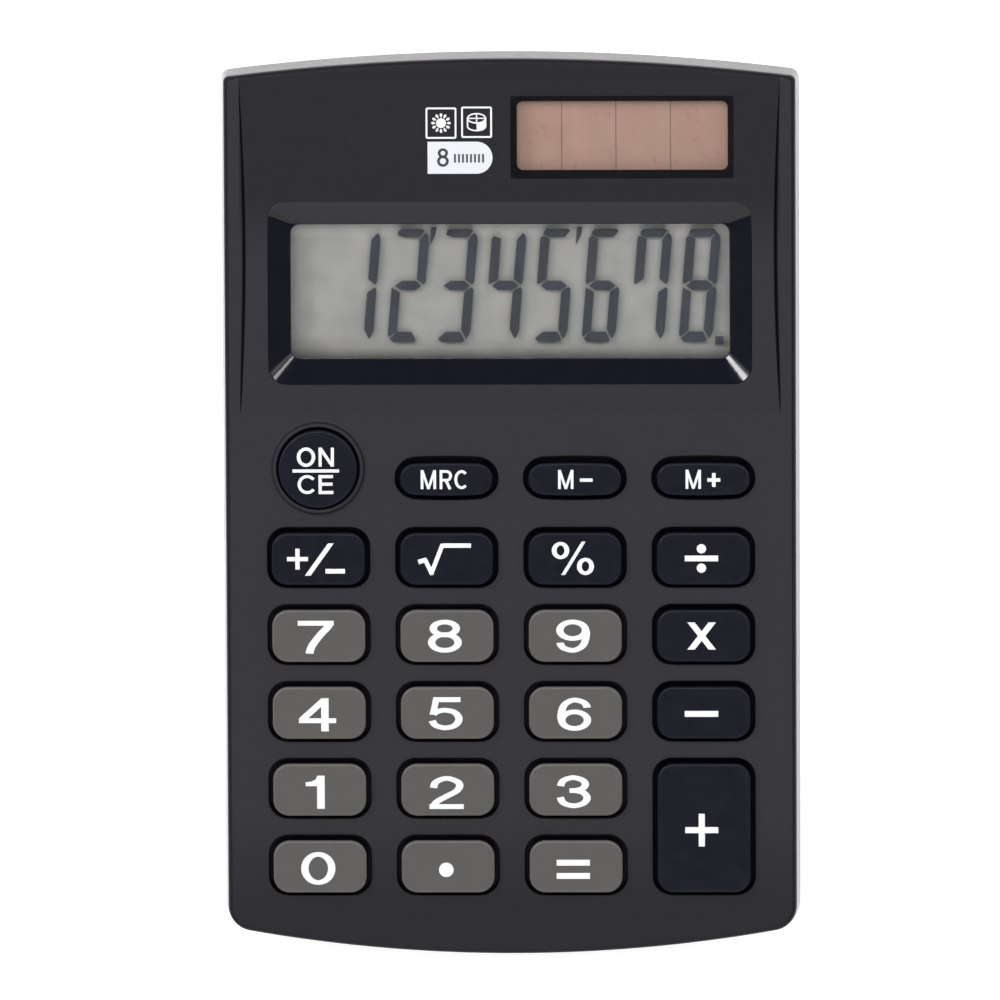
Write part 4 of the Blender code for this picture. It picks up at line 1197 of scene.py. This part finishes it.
def make_lower_case():
    """The back and lower walls, with screw posts, the battery bay and the rails of its door."""
    lip = [(2.35, FLOOR), (2.1, LIP_TOP), (1.6, LIP_TOP), (1.6, SEAM)]
    wall = [(0.05, SEAM), (0.3, 2.75), (0.55, 0.9), (0.61, 0.6), (0.72, 0.32), (0.9, 0.12),
            (1.2, 0.0)]
    bm = bmesh.new()
    rings = [(case_outline(inset), height) for inset, height in lip + wall]
    loft(bm, rings, low_cap=True, high_cap=True)
    piece = finish_piece("lower_case", bm, CASE_PLASTIC, "housing", ["rear_shell"],
                         sharp=30)

    posts, holes, ring_wall, bore = bmesh.new(), bmesh.new(), bmesh.new(), bmesh.new()
    post, pocket, shank, seat = SCREW_POST
    post_top, past_bay = SEAM - 0.25, BAY_TOP + 0.5
    for name in CASE_SCREWS:
        place = middle(name).xy
        turned(posts, [(post, FLOOR - 0.7), (post, SEAM - 0.3)], place, 32)
        turned(holes, [(pocket + 0.1, -0.5), (pocket, 0.1), (pocket, seat), (shank, seat),
                       (shank, post_top), (1.8, post_top), (1.8, LIP_TOP + 0.5)], place, 32)
    turned(ring_wall, [(BAY_RING_RADIUS, FLOOR), (BAY_RING_RADIUS, BAY_TOP)], BAY.xy, 64)
    turned(bore, [(BAY_BORE_RADIUS, 1.2), (BAY_BORE_RADIUS, past_bay)], BAY.xy, 64)
    low, high = box("battery_door")
    inner_end, past_top = low.y - DOOR_GAP, CASE_HALF_LENGTH + 2
    slot_x = (low.x + TONGUE_REACH - DOOR_GAP, high.x - TONGUE_REACH + DOOR_GAP)
    rail_x = (low.x - DOOR_GAP, high.x + DOOR_GAP)
    half_slot, slot_low = CONTACT_SLOT
    contact_slot = slab((BAY.x - BAY_RING_RADIUS - 0.6, BAY.x - BAY_BORE_RADIUS + 0.8),
                        (BAY.y - half_slot, BAY.y + half_slot), (slot_low, past_bay))
    for operation, guide in (
        ("UNION", posts),
        ("UNION", slab((low.x - 1.5, high.x + 1.5), (low.y - 1.5, 46.6), (FLOOR - 0.7, 2.3))),
        ("UNION", ring_wall),
        ("DIFFERENCE", holes),
        ("DIFFERENCE", slab(slot_x, (inner_end, past_top), (-0.5, 1.3))),
        ("DIFFERENCE", slab(rail_x, (inner_end, past_top), (0.85, 1.75))),
        ("DIFFERENCE", bore),
        ("DIFFERENCE", contact_slot),
    ):
        carve(piece, operation, guide)
    bevel = piece.modifiers.new("edges", "BEVEL")
    bevel.width = 0.1 * MM
    bevel.segments = 2
    bevel.limit_method = "ANGLE"
    bevel.angle_limit = math.radians(50)
    piece.modifiers.move(len(piece.modifiers) - 1, 0)


def make_door():
    """The sliding battery door with its grip ridges."""
    low, high = box("battery_door")
    middle_y, radius = CASE_HALF_LENGTH - TOP_RADIUS, TOP_RADIUS - 1.0
    bm = bmesh.new()
    for side, bottom, top in ((TONGUE_REACH, low.z, TONGUE_TOP), (0.0, TONGUE_TOP - 0.05, high.z)):
        edges = [low.x + side + (high.x - low.x - 2 * side) * step / 12 for step in range(13)]
        end = [(x, middle_y + math.sqrt(radius ** 2 - x ** 2)) for x in reversed(edges)]
        outline = end + [(edges[0], low.y), (edges[-1], low.y)]
        loft(bm, [(outline, bottom), (outline, top)], low_cap=True, high_cap=True)
    for row in range(RIDGES):
        place = ((low.x + high.x) / 2, low.y + 2.4 + RIDGE_PITCH * row)
        ridge = rounded_box((9.0, 0.42, 0.2), place, 4)
        inner = rounded_box((8.8, 0.2, 0.09), place, 4)
        loft(bm, [(inner, 0.01), (ridge, 0.07), (ridge, low.z + 0.1)], low_cap=True, high_cap=True)
    finish_piece("door_plate", bm, CASE_PLASTIC, "battery_door", ["battery_door"])


# ---- CAD nodes that stay ----

KEPT = {
    CLEAR_WINDOW: ("display_window",),
    POLARIZER: ("lcd_front_polarizer",),
    LCD_GLASS: ("lcd_front_glass", "lcd_rear_glass"),
    REFLECTOR: ("lcd_reflector",),
    ZEBRA_RUBBER: ("zebra_strip",),
    INNER_PLASTIC: ("lcd_retainer",),
    MAT_SILICONE: ("keypad_mat",),
    LAMINATE: ("circuit_board",),
    EPOXY: ("chip_cover",),
    SLEEVE: ("electrolytic_capacitor",),
    CERAMIC: ("ceramic_capacitor",),
    DIODE_GLASS: ("clamp_diode",),
    RESISTOR: ("resistor",),
    CELL_STEEL: ("button_cell",),
    CONTACT_STEEL: ("positive_contact", "negative_contact"),
    WIRE_RED: ("battery_lead_red", "solar_lead_red"),
    WIRE_BLACK: ("battery_lead_black", "solar_lead_black"),
    SCREW_STEEL: (*CASE_SCREWS, *BOARD_SCREWS, *RETAINER_SCREWS),
}


def dress_kept_nodes():
    """Give the CAD nodes that stay their finished materials."""
    for material, names in KEPT.items():
        for name in names:
            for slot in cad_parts[name].material_slots:
                slot.link = "OBJECT"
                slot.material = material


# ---- studio ----

HORIZON = (1, 1, 1, 1)
CEILING = (0.13, 0.13, 0.14, 1)
FLOOR_RADIUS = 1500.0
# Name, azimuth and elevation in degrees, distance and size in metres, power in watts
SOFTBOXES = (
    ("softbox_back", 90, 67, 1.9, (1.6, 0.7), 25),
    ("softbox_front", -90, 60, 1.9, (1.6, 0.7), 13),
    ("softbox_front_low", -90, 14, 2.2, (2.2, 0.3), 1.2),
    ("softbox_left", 176, 50, 1.8, (0.9, 0.9), 5),
    ("softbox_right", 4, 50, 1.8, (0.9, 0.9), 5),
    ("lamp_back_left", 143, 42.5, 2.0, (0.65, 0.3), 12),
    ("lamp_back_right", 37, 43, 2.0, (0.35, 0.3), 3.0),
)


def add_softbox(name, azimuth, elevation, distance, size, power):
    """A rectangular lamp that faces the object. Azimuth runs from +X towards +Y."""
    a, e = math.radians(azimuth), math.radians(elevation)
    place = Vector((math.cos(a) * math.cos(e), math.sin(a) * math.cos(e), math.sin(e))) * distance
    lamp = bpy.data.lights.new(name, "AREA")
    lamp.shape = "RECTANGLE"
    lamp.size, lamp.size_y = size
    lamp.energy = power
    holder = new_object(name, lamp)
    holder.visible_camera = False
    holder.location = place
    holder.rotation_mode = "QUATERNION"
    holder.rotation_quaternion = (-place).to_track_quat("-Z", "Y")


def lit_paper():
    """White paper on a softly lit table."""
    finish = Finish("paper", roughness=0.9)
    finish.link(finish.mottle((0.9, 0.9, 0.9), 0.004), "Base Color")
    finish.shader.inputs["Emission Color"].default_value = (1, 1, 1, 1)
    finish.shader.inputs["Emission Strength"].default_value = 0.45
    return finish.material


def make_world():
    """A bright horizon under a dim ceiling."""
    world = bpy.data.worlds.new("studio")
    world.use_nodes = True
    bpy.context.scene.world = world
    nodes, links = world.node_tree.nodes, world.node_tree.links
    background = nodes["Background"]
    parts = nodes.new("ShaderNodeSeparateXYZ")
    ramp = nodes.new("ShaderNodeValToRGB")
    links.new(nodes.new("ShaderNodeTexCoord").outputs["Generated"], parts.inputs[0])
    links.new(parts.outputs["Z"], ramp.inputs[0])
    ramp.color_ramp.interpolation = "EASE"
    for stop, height, colour in zip(ramp.color_ramp.elements, (0.14, 0.3), (HORIZON, CEILING)):
        stop.position = height
        stop.color = colour
    links.new(ramp.outputs[0], background.inputs["Color"])
    background.inputs["Strength"].default_value = 1.05


def make_studio():
    """A wide white floor with softboxes round it and two lamps for the corners of the bezel."""
    make_world()
    for lamp in SOFTBOXES:
        add_softbox(*lamp)
    bm = bmesh.new()
    turned(bm, [(FLOOR_RADIUS, -0.02), (FLOOR_RADIUS, -4.0)], sides=96, high_cap=False)
    floor = to_object("floor", bm)
    floor.data.materials.append(lit_paper())


def make_camera():
    """The camera of the main view, 8 degrees off the upright towards the display end."""
    tilt, sideways, roll = math.radians(8), math.radians(1.4), math.radians(0.254)
    distance = 1.8
    aim = Vector((-1.155, 0.885, FACE)) * MM
    back = Vector((math.tan(sideways), math.tan(tilt), 1)).normalized()
    right = Vector((0, 1, 0)).cross(back).normalized()
    data = bpy.data.cameras.new("camera")
    data.sensor_width = 36
    data.lens = 603.5
    data.clip_start, data.clip_end = 0.01, 100
    camera = new_object("camera", data)
    camera.location = aim + back * distance
    camera.rotation_mode = "QUATERNION"
    turn = Matrix((right, back.cross(right), back)).transposed() @ Matrix.Rotation(-roll, 3, "Z")
    camera.rotation_quaternion = turn.to_quaternion()
    bpy.context.scene.camera = camera


make_upper_case()
make_lower_case()
make_door()
for key in SHAPED_KEYS:
    make_key(key)
make_on_key()
make_legends()
make_bezel()
make_readout()
make_solar_panel()
make_symbols()
dress_kept_nodes()
make_studio()
make_camera()

scene = bpy.context.scene
scene.view_settings.view_transform = "Standard"
scene.cycles.transparent_max_bounces = 32
